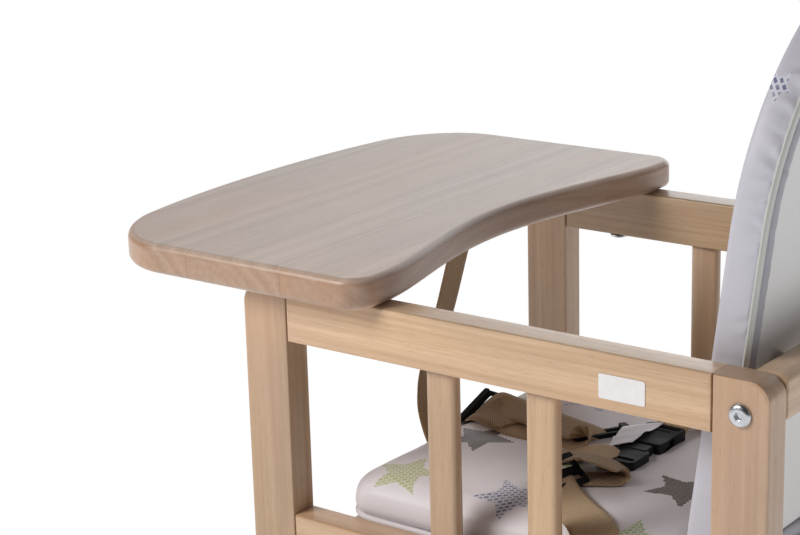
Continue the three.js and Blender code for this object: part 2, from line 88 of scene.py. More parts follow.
# ---- materials -----------------------------------------------------------------------------------
class Shader:
    """A material whose node tree is built by calls that take and return sockets."""

    def __init__(self, name, roughness=0.5, **surface):
        self.material = bpy.data.materials.new(name)
        self.material.use_nodes = True
        self.tree = self.material.node_tree
        self.surface = self.tree.nodes["Principled BSDF"]
        self.surface.inputs["Roughness"].default_value = roughness
        for key, value in surface.items():
            self.surface.inputs[key.replace("_", " ")].default_value = value

    def node(self, kind, settings=(), **inputs):
        node = self.tree.nodes.new("ShaderNode" + kind)
        for key, value in dict(settings).items():
            setattr(node, key, value)
        for key, value in inputs.items():
            self.feed(node.inputs[key.replace("_", " ")], value)
        return node

    def feed(self, socket, value):
        if isinstance(value, bpy.types.NodeSocket):
            self.tree.links.new(value, socket)
        else:
            socket.default_value = value

    def math(self, operation, a, b=0.0, c=0.0):
        node = self.tree.nodes.new("ShaderNodeMath")
        node.operation = operation
        for socket, value in zip(node.inputs, (a, b, c)):
            self.feed(socket, value)
        return node.outputs[0]

    def plus(self, a, b):
        return self.math("ADD", a, b)

    def minus(self, a, b):
        return self.math("SUBTRACT", a, b)

    def times(self, a, b):
        return self.math("MULTIPLY", a, b)

    def span(self, value, low, high, start=0.0, end=1.0):
        """Takes value from low..high to start..end, held at both ends."""
        node = self.node("MapRange", {"interpolation_type": "SMOOTHSTEP"})
        for socket, given in zip(node.inputs, (value, low, high, start, end)):
            self.feed(socket, given)
        return node.outputs[0]

    def mix(self, factor, a, b, blend="MIX"):
        node = self.node("Mix", {"data_type": "RGBA", "blend_type": blend})
        for index, value in ((0, factor), (6, a), (7, b)):
            self.feed(node.inputs[index], value)
        return node.outputs[2]

    def noise(self, vector, scale, detail=2.0, roughness=0.5):
        return self.node("TexNoise", Vector=vector, Scale=scale, Detail=detail,
                         Roughness=roughness).outputs[0]

    def place(self):
        return self.node("TexCoord").outputs["Object"]

    def parts(self, vector):
        return self.node("SeparateXYZ", Vector=vector).outputs

    def vector(self, x, y, z):
        node = self.node("CombineXYZ")
        for socket, value in zip(node.inputs, (x, y, z)):
            self.feed(socket, value)
        return node.outputs[0]

    def stretch(self, vector, factors):
        node = self.tree.nodes.new("ShaderNodeVectorMath")
        node.operation = "MULTIPLY"
        self.feed(node.inputs[0], vector)
        node.inputs[1].default_value = factors
        return node.outputs[0]

    def fibre(self, vector, along, across, detail=2.0, roughness=0.5):
        """Noise drawn out along the first axis of vector, in waves to the metre."""
        return self.noise(self.stretch(vector, (along, across, across)), 1.0, detail, roughness)

    def bump(self, height, distance, strength=1.0, normal=None):
        node = self.node("Bump", Height=height, Distance=distance, Strength=strength)
        if normal is not None:
            self.feed(node.inputs["Normal"], normal)
        return node.outputs[0]

    def done(self, **surface):
        for key, value in surface.items():
            self.feed(self.surface.inputs[key.replace("_", " ")], value)
        return self.material


def linear(red, green, blue):
    """A screen colour given as 0 to 255 values, as the renderer's own linear colour."""
    def one(value):
        part = value / 255
        return part / 12.92 if part <= 0.04045 else ((part + 0.055) / 1.055) ** 2.4
    return one(red), one(green), one(blue), 1.0


def shaded(tone, share):
    """A tone with its red, green and blue multiplied by a share."""
    return tuple(share * c for c in tone[:3]) + (1.0,)


WOOD_LIGHT = linear(216, 184, 150)
WOOD_DARK = linear(188, 152, 118)
WOOD_PORE = linear(150, 112, 80)
WOOD_ROSY = linear(206, 166, 140)
BOARD_LIGHT = linear(202, 181, 167)
BOARD_DARK = linear(181, 157, 142)


def wood(name, grain, light=WOOD_LIGHT, dark=WOOD_DARK, stave=None, gloss=0.34, coat=0.3, ring_contrast=0.5,
         pore_depth=0.3, coat_rough=0.22, end_grain_and_edge_shade_tone=0.86):
    """Lacquered hardwood whose fibres run along one axis. A board glued up from staves gives their width,
    the place of one seam on the axis across the grain, and the board's middle height."""
    s = Shader(name, Coat_Weight=coat, Coat_Roughness=coat_rough)
    x, y, z = s.parts(s.place())
    along, wide, deep = {"X": (x, y, z), "Y": (y, z, x), "Z": (z, y, x)}[grain]
    piece = s.node("ObjectInfo").outputs["Random"]
    across = wide
    if stave:
        width, seam_place, level = stave
        position = s.math("DIVIDE", s.minus(wide, seam_place), width)
        index = s.math("FLOOR", position)
        piece = s.node("TexWhiteNoise", {"noise_dimensions": "1D"}, W=s.plus(index, 0.37)).outputs[0]
        across = s.times(s.minus(s.math("FRACT", position), 0.5), width)
        deep = s.minus(deep, level)
    shift = s.times(piece, 3.7)
    local = s.vector(s.plus(along, shift), s.plus(wide, shift), deep)
    # growth rings round a pith outside the piece, wavering slowly along the grain
    waver = s.fibre(local, 1.6, 7.0)
    pith_wide = s.plus(across, s.times(s.minus(piece, 0.5), 0.07))
    pith_deep = s.plus(deep, s.plus(s.times(piece, 0.03), 0.028 if stave else 0.25))
    radius = s.math("SQRT", s.plus(s.math("POWER", pith_wide, 2.0), s.math("POWER", pith_deep, 2.0)))
    radius = s.plus(radius, s.times(waver, 0.022))
    rings = s.node("TexNoise", {"noise_dimensions": "1D"}, W=radius, Scale=150.0, Detail=2.5).outputs[0]
    streaks = s.fibre(local, 5.0, 190.0, 3.0, 0.6)
    hairs = s.fibre(local, 26.0, 1300.0, 2.0, 0.6)
    clouds = s.fibre(local, 6.0, 17.0, 3.0)
    figure = s.times(rings, ring_contrast)
    figure = s.plus(figure, s.times(streaks, 0.9 - ring_contrast))
    figure = s.plus(figure, s.times(hairs, 0.25))
    figure = s.plus(figure, s.times(s.minus(clouds, 0.5), 0.5))
    tone = s.mix(s.span(figure, 0.36, 0.8), dark, light)
    tone = s.mix(s.span(s.fibre(local, 2.2, 9.0), 0.45, 0.75, 0.0, 0.55), tone, WOOD_ROSY)
    # short open pores, drawn out along the grain
    pores = s.span(s.fibre(local, 90.0, 1100.0, 1.0, 0.4), 0.6, 0.78)
    tone = s.mix(s.times(pores, pore_depth), tone, WOOD_PORE)
    if stave:
        edge = s.math("FRACT", position)
        near = s.math("MINIMUM", edge, s.minus(1.0, edge))
        tone = s.mix(s.span(near, 0.0, 0.007, 0.5, 0.0), tone, WOOD_PORE)
    # end grain drinks more lacquer and shows darker
    normal = s.parts(s.node("NewGeometry").outputs["Normal"])["XYZ".index(grain)]
    end = s.span(s.math("ABSOLUTE", normal), 0.35, 0.9)
    # on glued-up boards every face that doesn't look up or down is darkened and saturated too: painted shade
    # on the boards' edges, beside the real darker end grain
    if stave:
        upright = s.parts(s.node("NewGeometry").outputs["Normal"])[2]
        side = s.span(s.math("ABSOLUTE", upright), 0.25, 0.85, 0.75, 0.0)
        end = s.math("MAXIMUM", end, side)
        tone = s.node("HueSaturation", Saturation=s.span(end, 0.0, 1.0, 0.96, 1.5), Color=tone).outputs[0]
    value = s.times(s.span(piece, 0.0, 1.0, 0.92, 1.06), s.span(end, 0.0, 1.0, 1.0, end_grain_and_edge_shade_tone))
    vivid = s.span(clouds, 0.3, 0.7, 0.94, 1.06)
    toned = s.node("HueSaturation", Value=value, Color=tone, Saturation=vivid).outputs[0]
    height = s.minus(s.times(hairs, 0.5), pores)
    rough = s.span(s.plus(streaks, pores), 0.3, 1.6, gloss - 0.04, gloss + 0.2)
    return s.done(Base_Color=toned, Roughness=rough, Normal=s.bump(height, 0.0001, 0.5))


def star_group():
    """A node group that is 1 inside a five-pointed star of a given centre, turn and radius."""
    group = bpy.data.node_groups.new("star", "ShaderNodeTree")
    for name in ("U", "V", "Centre U", "Centre V", "Turn", "Size"):
        group.interface.new_socket(name, in_out="INPUT", socket_type="NodeSocketFloat")
    group.interface.new_socket("Inside", in_out="OUTPUT", socket_type="NodeSocketFloat")
    s = Shader.__new__(Shader)
    s.tree = group
    given = group.nodes.new("NodeGroupInput").outputs
    u = s.math("DIVIDE", s.minus(given["U"], given["Centre U"]), given["Size"])
    v = s.math("DIVIDE", s.minus(given["V"], given["Centre V"]), given["Size"])
    radius = s.math("SQRT", s.plus(s.math("POWER", u, 2.0), s.math("POWER", v, 2.0)))
    angle = s.plus(s.plus(s.math("ARCTAN2", v, u), given["Turn"]), 20 * math.pi)
    folded = s.math("PINGPONG", angle, math.pi / 5)
    # one half point: a straight edge from the tip (1, 0) to the notch between two points
    notch = 0.46
    edge_u, edge_v = notch * math.cos(math.pi / 5) - 1, notch * math.sin(math.pi / 5)
    point_u = s.minus(s.times(radius, s.math("COSINE", folded)), 1.0)
    point_v = s.times(radius, s.math("SINE", folded))
    side = s.minus(s.times(point_u, edge_v), s.times(point_v, edge_u))
    inside = s.span(side, -0.012, 0.006, 1.0, 0.0)
    out = group.nodes.new("NodeGroupOutput")
    group.links.new(inside, out.inputs["Inside"])
    return group


STAR = star_group()
CLOTH_TONE = linear(226, 220, 225)
# each print: its dash colour, the ground under the dashes, and how much of a cell a dash fills
PRINT = {
    "lime": (linear(172, 175, 122), linear(207, 208, 186), 0.32),
    "navy": (linear(92, 102, 136), linear(210, 209, 220), 0.28),
    "taupe": (linear(62, 49, 41), linear(102, 87, 78), 0.34),
    "olive": (linear(138, 152, 100), linear(206, 210, 186), 0.30),
}
PRINT_TURN = math.radians(127)      # the rows of dashes run across the seat at this angle
CELL_WIDE, CELL_HIGH = 0.0050, 0.0038


def coated_cloth(name, plane, stars, tone=CLOTH_TONE, fold=None):
    """Wipe-clean coated cloth, printed with stars made of rows of short dashes where they are given. With a
    fold height, the print runs on down the side walls below it as flat cloth would."""
    s = Shader(name, Specular_IOR_Level=0.25, Sheen_Weight=0.05, Sheen_Roughness=0.4,
               Coat_Weight=0.05, Coat_Roughness=0.32)
    place = s.place()
    x, y, z = s.parts(place)
    u, v = {"XY": (x, y), "XZ": (x, z), "YZ": (y, z)}[plane]
    if fold is not None:
        facing = s.parts(s.node("TexCoord").outputs["Normal"])
        drop = s.math("MAXIMUM", s.minus(fold, z), 0.0)
        u = s.plus(u, s.times(facing[0], drop))
        v = s.plus(v, s.times(facing[1], drop))
    colour = s.mix(s.noise(place, 14.0, 2.0), tone, shaded(tone, 0.965))
    if stars:
        colour = printed(s, colour, u, v, place, stars)
    weave = s.times(*[s.math("SINE", s.times(axis, 2 * math.pi / 0.0007)) for axis in (u, v)])
    crease = s.noise(s.stretch(place, (30.0, 30.0, 30.0)), 1.0, 3.0)
    height = s.plus(s.times(weave, 0.03), s.times(crease, 1.0))
    rough = s.span(crease, 0.3, 0.7, 0.36, 0.48)
    return s.done(Base_Color=colour, Roughness=rough, Normal=s.bump(height, 0.0012, 0.22))


def printed(s, colour, u, v, place, stars):
    """Lays the stars' dashes over a colour. The stars' outlines are pulled part of the way to the dashes'
    own middles, so that they come out a little ragged."""
    turn_u, turn_v = math.cos(PRINT_TURN), math.sin(PRINT_TURN)
    along = s.plus(s.times(u, turn_u), s.times(v, turn_v))
    across = s.minus(s.times(v, turn_u), s.times(u, turn_v))
    row = s.math("FLOOR", s.math("DIVIDE", across, CELL_HIGH))
    half = s.times(s.math("MODULO", s.plus(row, 4000.0), 2.0), 0.5)
    place_along = s.plus(s.math("DIVIDE", along, CELL_WIDE), half)
    column = s.math("FLOOR", place_along)
    middle_u = s.times(s.minus(s.plus(column, 0.5), half), CELL_WIDE)
    middle_v = s.times(s.plus(row, 0.5), CELL_HIGH)
    chance = s.node("TexWhiteNoise", {"noise_dimensions": "2D"}, Vector=s.vector(column, row, 0.0)).outputs[0]
    wobble = s.times(s.minus(s.noise(place, 900.0, 2.0), 0.5), 0.22)
    from_u = s.math("ABSOLUTE", s.minus(s.minus(place_along, column), 0.5))
    from_v = s.math("ABSOLUTE", s.minus(s.math("FRACT", s.math("DIVIDE", across, CELL_HIGH)), 0.5))
    reach = s.plus(s.math("MAXIMUM", s.times(from_u, 0.85), from_v), wobble)
    ragged = 0.3
    outline_u = s.plus(s.times(along, 1 - ragged), s.times(middle_u, ragged))
    outline_v = s.plus(s.times(across, 1 - ragged), s.times(middle_v, ragged))
    for kind, (ink, ground, fill) in PRINT.items():
        mask = None
        for star_u, star_v, turn, size, star_kind in stars:
            if star_kind != kind:
                continue
            node = s.node("Group", {"node_tree": STAR}, U=outline_u, V=outline_v,
                          Centre_U=star_u * turn_u + star_v * turn_v,
                          Centre_V=star_v * turn_u - star_u * turn_v,
                          Turn=math.radians(turn) + PRINT_TURN, Size=size)
            mask = node.outputs[0] if mask is None else s.math("MAXIMUM", mask, node.outputs[0])
        if mask is None:
            continue
        dash = s.span(reach, fill - 0.03, fill + 0.03, 1.0, 0.0)
        dash = s.times(dash, s.span(chance, 0.0, 1.0, 0.62, 1.0))
        colour = s.mix(s.times(mask, 0.96), colour, s.mix(dash, ground, ink))
    return colour


def webbing(name, tone=linear(216, 185, 145), deep=linear(144, 117, 89)):
    """Ribbed woven webbing. Its map runs across the strap in U and along it in V, both in metres."""
    s = Shader(name, roughness=0.85, Sheen_Weight=0.15)
    u, v = s.parts(s.node("TexCoord").outputs["UV"])[:2]
    pitch_u, pitch_v = 0.0021, 0.0015
    row = s.math("FLOOR", s.math("DIVIDE", v, pitch_v))
    shifted = s.plus(s.math("DIVIDE", u, pitch_u), s.times(row, 0.5))
    across = s.math("ABSOLUTE", s.minus(s.math("FRACT", shifted), 0.5))
    down = s.math("ABSOLUTE", s.minus(s.math("FRACT", s.math("DIVIDE", v, pitch_v)), 0.5))
    knot = s.minus(1.0, s.plus(s.times(across, 1.3), s.times(down, 1.1)))
    place = s.place()
    tufts = s.noise(place, 900.0, 2.0)
    patch = s.noise(place, 60.0, 2.0)
    # each knot is painted lighter in its middle and darker towards the hollows round it: painted shade of the
    # weave, on top of its bump
    lit = s.span(s.plus(knot, s.times(s.minus(tufts, 0.5), 0.4)), 0.1, 0.9)
    colour = s.mix(lit, deep, tone)
    colour = s.mix(s.times(patch, 0.25), colour, deep)
    return s.done(Base_Color=colour, Normal=s.bump(s.plus(knot, tufts), 0.0006, 0.6))


def plastic(name, tone=(0.010, 0.011, 0.012, 1.0), roughness=0.46):
    s = Shader(name, Specular_IOR_Level=0.12)
    place = s.place()
    grain = s.noise(place, 1400.0, 2.0)
    smudge = s.noise(place, 45.0, 3.0)
    rough = s.span(smudge, 0.3, 0.7, roughness - 0.05, roughness + 0.12)
    colour = s.mix(smudge, tone, shaded(tone, 1.5))
    return s.done(Base_Color=colour, Roughness=rough, Normal=s.bump(grain, 0.00005, 0.4))


def metal(name, tone, roughness=0.22):
    s = Shader(name, Metallic=1.0)
    place = s.place()
    fine = s.noise(place, 700.0, 3.0)
    wear = s.noise(place, 90.0, 3.0)
    colour = s.mix(s.span(wear, 0.35, 0.7), tone, shaded(tone, 0.78))
    rough = s.span(wear, 0.3, 0.7, roughness, roughness + 0.14)
    return s.done(Base_Color=colour, Roughness=rough, Normal=s.bump(fine, 0.00004, 0.3))


def painted_panel(name, tone=linear(220, 219, 219)):
    s = Shader(name, Coat_Weight=0.3, Coat_Roughness=0.2)
    place = s.place()
    cloud = s.noise(place, 5.0, 3.0)
    peel = s.noise(place, 260.0, 2.0)
    colour = s.mix(cloud, tone, shaded(tone, 0.94))
    rough = s.span(cloud, 0.3, 0.7, 0.32, 0.42)
    return s.done(Base_Color=colour, Roughness=rough, Normal=s.bump(peel, 0.00006, 0.4))


def label_film(name):
    s = Shader(name, Coat_Weight=0.5, Coat_Roughness=0.12)
    place = s.place()
    mottle = s.noise(place, 120.0, 2.0)
    colour = s.mix(mottle, linear(240, 238, 238), linear(226, 222, 224))
    return s.done(Base_Color=colour, Roughness=s.span(mottle, 0.3, 0.7, 0.3, 0.4))


FLOOR_GLOW = 0.97


def floor_paint(name):
    """A pale studio floor, lit from within so that it stays evenly bright."""
    s = Shader(name, roughness=0.9, Emission_Strength=FLOOR_GLOW)
    soft = s.noise(s.place(), 0.6, 2.0)
    tone = s.mix(soft, (0.1, 0.1, 0.1, 1.0), (0.14, 0.14, 0.14, 1.0))
    return s.done(Base_Color=tone, Emission_Color=(1.0, 1.0, 1.0, 1.0))


WOOD = {axis: wood("wood_along_" + axis.lower(), axis) for axis in "XYZ"}
# Painted shade: darker copies of the wood for the posts, spindles and far arm rail.
# Shares that bring these pieces near their tones in the photo, whose light this scene doesn't quite match.
# Nothing shows that their wood is darker than the rest.
PAINTED_SHADE_PIECES = {
    stem: wood(name, grain, shaded(WOOD_LIGHT, share), shaded(WOOD_DARK, share))
    for stem, name, grain, share in (
        ("front_post", "post_wood", "Z", 0.80), ("rear_post", "rear_post_wood", "Z", 0.68),
        ("spindle", "spindle_wood", "Z", 0.88), ("arm_rail_right", "far_rail_wood", "Y", 0.70))
}
TRAY_LEVEL = (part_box("tray")[0].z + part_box("tray")[1].z) / 2
TABLE_LEVEL = (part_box("table_top")[0].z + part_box("table_top")[1].z) / 2
# tray and table are boards glued up from staves
BOARD = {"light": BOARD_LIGHT, "dark": BOARD_DARK, "gloss": 0.42, "ring_contrast": 0.42, "pore_depth": 0.15,
         "coat_rough": 0.46}
TRAY_WOOD = wood("tray_wood", "X", stave=(0.095, -0.116, TRAY_LEVEL), coat=0.85, end_grain_and_edge_shade_tone=0.69, **BOARD)
TABLE_WOOD = wood("table_wood", "X", stave=(0.082, 0.03, TABLE_LEVEL), coat=0.7, end_grain_and_edge_shade_tone=0.74, **BOARD)
PANEL = painted_panel("back_panel")
WEBBING = webbing("webbing")
BLACK = plastic("black_plastic")
ZINC = metal("zinc_plate", (0.62, 0.64, 0.67, 1.0))
BRASS = metal("brass", (0.62, 0.45, 0.2, 1.0))
LABEL = label_film("label_film")

# each star: its middle, its turn in degrees, its radius and its print
SEAT_STARS = [
    (0.151, -0.066, 31, 0.0325, "lime"), (0.1475, 0.0325, 65, 0.0315, "navy"),
    (0.0685, 0.138, 48, 0.0330, "taupe"), (0.060, -0.058, 47, 0.0330, "taupe"),
    (0.166, 0.148, 20, 0.0330, "olive"), (0.066, 0.030, 12, 0.0320, "olive"),
    (-0.068, -0.020, 40, 0.0330, "navy"), (-0.026, 0.166, 18, 0.0320, "navy"),
    (-0.050, -0.084, 24, 0.0320, "lime"), (-0.118, 0.052, 60, 0.0320, "taupe"),
    (-0.118, -0.062, 10, 0.0320, "olive"), (-0.100, 0.158, 35, 0.0320, "lime"),
    (-0.172, 0.104, 50, 0.0320, "navy"), (-0.170, -0.010, 5, 0.0320, "lime"),
]
SEAT_FOLD = 0.612     # height at which the seat cushion's top turns into its side wall
BACK_STARS = [
    (0.120, 0.640, 10, 0.042, "navy"), (0.020, 0.665, -16, 0.040, "lime"),
    (-0.090, 0.650, 22, 0.042, "taupe"), (0.065, 0.745, 28, 0.040, "olive"),
    (-0.035, 0.760, 4, 0.042, "navy"), (-0.140, 0.745, -12, 0.038, "lime"),
    (0.135, 0.815, -6, 0.040, "taupe"), (0.030, 0.845, 14, 0.042, "lime"),
    (-0.080, 0.850, -24, 0.040, "olive"), (0.100, 0.925, 20, 0.038, "navy"),
    (-0.010, 0.945, -8, 0.042, "taupe"), (-0.110, 0.930, 16, 0.036, "navy"),
]
SEAT_CLOTH = coated_cloth("seat_cloth", "XY", SEAT_STARS, fold=SEAT_FOLD)
BACK_CLOTH = coated_cloth("back_cloth", "XZ", BACK_STARS)
PLAIN_CLOTH = coated_cloth("plain_cloth", "XZ", [])
BAND_STARS = [(0.2495, 0.9555, 20, 0.0110, "navy")]
# The back cover's side band is a darker, slightly bluer copy of the cover cloth: painted shade.
SHADED_BAND_CLOTH = coated_cloth("band_cloth_painted_shade", "YZ", BAND_STARS, linear(198, 196, 206))
BINDING = coated_cloth("binding_tape", "XZ", [], linear(204, 205, 200))
# The gathered hem at the back is a darker copy of the cover cloth: painted shade.
SHADED_HEM_CLOTH = coated_cloth("hem_cloth_painted_shade", "XZ", [], linear(164, 162, 172))
TAG_CLOTH = coated_cloth("tag_satin", "XY", [], linear(240, 238, 246))
THREAD = plastic("sewing_thread", linear(168, 144, 112), 0.7)


# ---- mesh building -------------------------------------------------------------------------------
def new_object(name, mesh, material, smooth=True):
    piece = bpy.data.objects.new(name, mesh)
    bpy.context.scene.collection.objects.link(piece)
    mesh.materials.append(material)
    mesh.polygons.foreach_set("use_smooth", [smooth] * len(mesh.polygons))
    return piece


def from_faces(name, points, faces, material, smooth=True):
    mesh = bpy.data.meshes.new(name)
    mesh.from_pydata([tuple(p) for p in points], [], faces)
    mesh.validate()
    return new_object(name, mesh, material, smooth)


def outward(piece):
    """Turns a closed mesh's faces to look out."""
    solid = bmesh.new()
    solid.from_mesh(piece.data)
    bmesh.ops.recalc_face_normals(solid, faces=solid.faces)
    solid.to_mesh(piece.data)
    solid.free()
    return piece


def apply_modifiers(piece):
    graph = bpy.context.evaluated_depsgraph_get()
    mesh = bpy.data.meshes.new_from_object(piece.evaluated_get(graph))
    piece.modifiers.clear()
    piece.data = mesh
    return piece


def dress(piece, material):
    """Gives a piece one material in place of those it has."""
    piece.data.materials.clear()
    piece.data.materials.append(material)


def keep_crisp(piece):
    """Smooth shading in which the flat faces stay flat."""
    piece.modifiers.new("weighted", "WEIGHTED_NORMAL").keep_sharp = True
    return piece


def along_curve(points, steps):
    """A smooth path through given points, as evenly parametrised stations."""
    ends = [2 * points[0] - points[1]] + list(points) + [2 * points[-1] - points[-2]]
    path = []
    for i in range(steps + 1):
        t = i / steps * (len(points) - 1)
        k = min(int(t), len(points) - 2)
        f = t - k
        a, b, c, d = ends[k:k + 4]
        path.append(0.5 * ((2 * b) + (c - a) * f + (2 * a - 5 * b + 4 * c - d) * f * f
                           + (3 * b - 3 * c + d - a) * f * f * f))
    return path


def ribbon(name, points, across, width, thick, material, steps=60, cup=0.0):
    """A strip of webbing: its middle line, its width direction at each point, and soft edges. The map
    holds metres across and along the strip. cup lifts the edges off the middle."""
    path = along_curve([Vector(p) for p in points], steps)
    if isinstance(across, Vector):
        wide = [across.normalized()] * len(path)
    else:
        wide = [w.normalized() for w in along_curve([Vector(a) for a in across], steps)]
    columns = 8
    verts, faces, maps = [], [], []
    travelled = 0.0
    for i, middle in enumerate(path):
        forward = (path[min(i + 1, steps)] - path[max(i - 1, 0)]).normalized()
        side = (wide[i] - forward * wide[i].dot(forward)).normalized()
        up = side.cross(forward)
        if i:
            travelled += (middle - path[i - 1]).length
        for surface in (1, -1):
            for j in range(columns + 1):
                f = 2 * j / columns - 1
                edge = 1 - 0.55 * abs(f) ** 14
                lift = cup * (f * f - 1 / 3)
                verts.append(middle + side * (f * width / 2) + up * (surface * edge * thick / 2 + lift))
                maps.append((f * width / 2, travelled))
    ring = 2 * (columns + 1)
    for i in range(steps):
        base = i * ring
        for j in range(columns):
            a, b = base + j, base + j + 1
            faces.append((a, a + ring, b + ring, b))
            c, d = a + columns + 1, b + columns + 1
            faces.append((c, d, d + ring, c + ring))
        for j in (0, columns):
            top, low = base + j, base + j + columns + 1
            quad = (top, low, low + ring, top + ring)
            faces.append(quad if j == 0 else quad[::-1])
    for base, flip in ((0, False), (steps * ring, True)):
        for j in range(columns):
            quad = (base + j, base + j + 1, base + j + 1 + columns + 1, base + j + columns + 1)
            faces.append(quad[::-1] if flip else quad)
    piece = from_faces(name, verts, faces, material)
    layer = piece.data.uv_layers.new(name="strap")
    for loop in piece.data.loops:
        layer.data[loop.index].uv = maps[loop.vertex_index]
    return piece


def tube(name, points, radius, material, closed=False):
    """A round cord along a smooth path."""
    curve = bpy.data.curves.new(name, "CURVE")
    curve.dimensions = "3D"
    curve.bevel_depth = radius
    curve.bevel_resolution = 3
    curve.use_fill_caps = True
    spline = curve.splines.new("POLY")
    spline.points.add(len(points) - 1)
    for target, point in zip(spline.points, points):
        target.co = (*point, 1.0)
    spline.use_cyclic_u = closed
    piece = bpy.data.objects.new(name, curve)
    bpy.context.scene.collection.objects.link(piece)
    graph = bpy.context.evaluated_depsgraph_get()
    mesh = bpy.data.meshes.new_from_object(piece.evaluated_get(graph))
    bpy.data.objects.remove(piece)
    return new_object(name, mesh, material)


def arc(centre_u, centre_v, radius, start, end, count):
    """Points on a round stretch of an outline, angles in degrees."""
    angles = [math.radians(start + (end - start) * i / count) for i in range(count + 1)]
    return [(centre_u + radius * math.cos(a), centre_v + radius * math.sin(a)) for a in angles]


def bezier(a, b, c, d, count):
    """A cubic stretch of an outline, without its first point."""
    points = []
    for i in range(1, count + 1):
        t = i / count
        weights = ((1 - t) ** 3, 3 * t * (1 - t) ** 2, 3 * t * t * (1 - t), t ** 3)
        points.append(tuple(sum(w * p[k] for w, p in zip(weights, (a, b, c, d))) for k in (0, 1)))
    return points


def rounded_slab(name, outline, low, high, round_edge, segments, material, turn=Matrix.Identity(4)):
    """A flat board of an outline whose top and bottom edges are rounded over."""
    solid = bmesh.new()
    ground = [solid.verts.new((u, v, low)) for u, v in outline]
    face = solid.faces.new(ground)
    solid.normal_update()
    if face.normal.z > 0:
        face.normal_flip()
    top = bmesh.ops.extrude_face_region(solid, geom=[face])
    for item in top["geom"]:
        if isinstance(item, bmesh.types.BMVert):
            item.co.z = high
    bmesh.ops.recalc_face_normals(solid, faces=solid.faces)
    rims = [e for e in solid.edges if abs(e.verts[0].co.z - e.verts[1].co.z) < 1e-7]
    bmesh.ops.bevel(solid, geom=rims, offset=round_edge, segments=segments, profile=0.5, affect="EDGES",
                    clamp_overlap=False)
    solid.transform(turn)
    mesh = bpy.data.meshes.new(name)
    solid.to_mesh(mesh)
    solid.free()
    return keep_crisp(new_object(name, mesh, material))


# ---- woodwork carried over from the frame ----------------------------------------------------------
GRAIN = {
    "X": ("top_rail", "seat_front_rail", "seat_rear_rail", "back_block", "front_apron", "rear_apron",
          "rear_stretcher"),
    "Y": ("arm_rail", "seat_side_rail", "side_apron", "side_stretcher"),
    "Z": ("front_post", "rear_post", "spindle", "leg"),
}


def dress_frame():
    """Gives each CAD piece that stays its material, with its arrises shaded as round."""
    for name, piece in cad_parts.items():
        material = None
        for axis, stems in GRAIN.items():
            if name.startswith(stems):
                material = next((toned for stem, toned in PAINTED_SHADE_PIECES.items() if stem in name), WOOD[axis])
        if name.startswith(("table_top", "seat_board")):
            material = TABLE_WOOD
        if name.startswith("tray_insert"):
            material = BRASS
        if name.startswith(("tray_bolt", "barrel_nut")):
            material = ZINC
        if name.startswith(("glide", "hand_screw")):
            material = BLACK
        if material is None:
            continue
        dress(piece, material)
        piece.data.polygons.foreach_set("use_smooth", [True] * len(piece.data.polygons))
        piece.modifiers.new("weld", "WELD").merge_threshold = 1e-6
        piece.modifiers.new("arrises", "EDGE_SPLIT").split_angle = math.radians(40)
        keep_crisp(piece)


dress_frame()


# ---- tray ------------------------------------------------------------------------------------------
TRAY_CORNER = 0.022
TRAY_ROUND = 0.0060


def tray_outline():
    """Half the outline runs from the bowed front edge round the wide corner, side and rear corner to the
    waved edge that curves in round the child; the other half mirrors it."""
    low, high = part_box("tray")
    front, side = low.y, high.x
    half = [(0.0, front)]
    half += bezier((0, front), (0.06, front), (0.110, front + 0.0040), (0.160, front + 0.0125), 12)
    half += bezier(half[-1], (0.196, front + 0.0185), (side, front + 0.052), (side, front + 0.092), 16)
    half += arc(side - TRAY_CORNER, high.y - TRAY_CORNER, TRAY_CORNER, 0, 90, 10)
    half.append((0.200, high.y))
    half += bezier(half[-1], (0.155, high.y - 0.0005), (0.085, high.y - 0.033), (0.0, high.y - 0.033), 24)
    return half + [(-u, v) for u, v in reversed(half[1:-1])]


def add_tray():
    low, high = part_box("tray")
    tray = rounded_slab("tray_board", tray_outline(), low.z, high.z, TRAY_ROUND, 6, TRAY_WOOD)
    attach(tray, CHAIR)
    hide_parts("tray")


add_tray()


# ---- soft goods --------------------------------------------------------------------------------------
def swell(piece, pressure, cap, voxel=0.0052, frames=20, stiff=14.0):
    """Puffs a closed skin as Blender's cloth does, holding each point near where it was sewn."""
    remesh = piece.modifiers.new("remesh", "REMESH")
    remesh.mode = "VOXEL"
    remesh.voxel_size = voxel
    apply_modifiers(piece)
    start = [v.co.copy() for v in piece.data.vertices]
    cloth = piece.modifiers.new("cloth", "CLOTH")
    settings = cloth.settings
    settings.use_pressure = True
    settings.uniform_pressure_force = pressure
    settings.tension_stiffness = settings.compression_stiffness = stiff
    settings.shear_stiffness = stiff * 0.5
    settings.bending_stiffness = 1.2
    settings.effector_weights.gravity = 0
    cloth.point_cache.frame_start, cloth.point_cache.frame_end = 1, frames
    for index in range(1, frames + 1):
        bpy.context.scene.frame_set(index)
    graph = bpy.context.evaluated_depsgraph_get()
    moved = piece.evaluated_get(graph).to_mesh()
    ends = [v.co.copy() for v in moved.vertices]
    piece.modifiers.clear()
    for vertex, before, after in zip(piece.data.vertices, start, ends):
        step = after - before
        if step.length > cap:
            step *= cap / step.length
        vertex.co = before + step
    bpy.context.scene.frame_set(1)
    return piece


def fit_box(piece, low, high):
    """Stretches a mesh a little so that it just fills a box."""
    corners = [[f(v.co[k] for v in piece.data.vertices) for k in range(3)] for f in (min, max)]
    for vertex in piece.data.vertices:
        for k in range(3):
            share = (vertex.co[k] - corners[0][k]) / (corners[1][k] - corners[0][k])
            vertex.co[k] = low[k] + share * (high[k] - low[k])


def subdivide_once(piece):
    piece.modifiers.new("subdivision", "SUBSURF").levels = 1
    return apply_modifiers(piece)


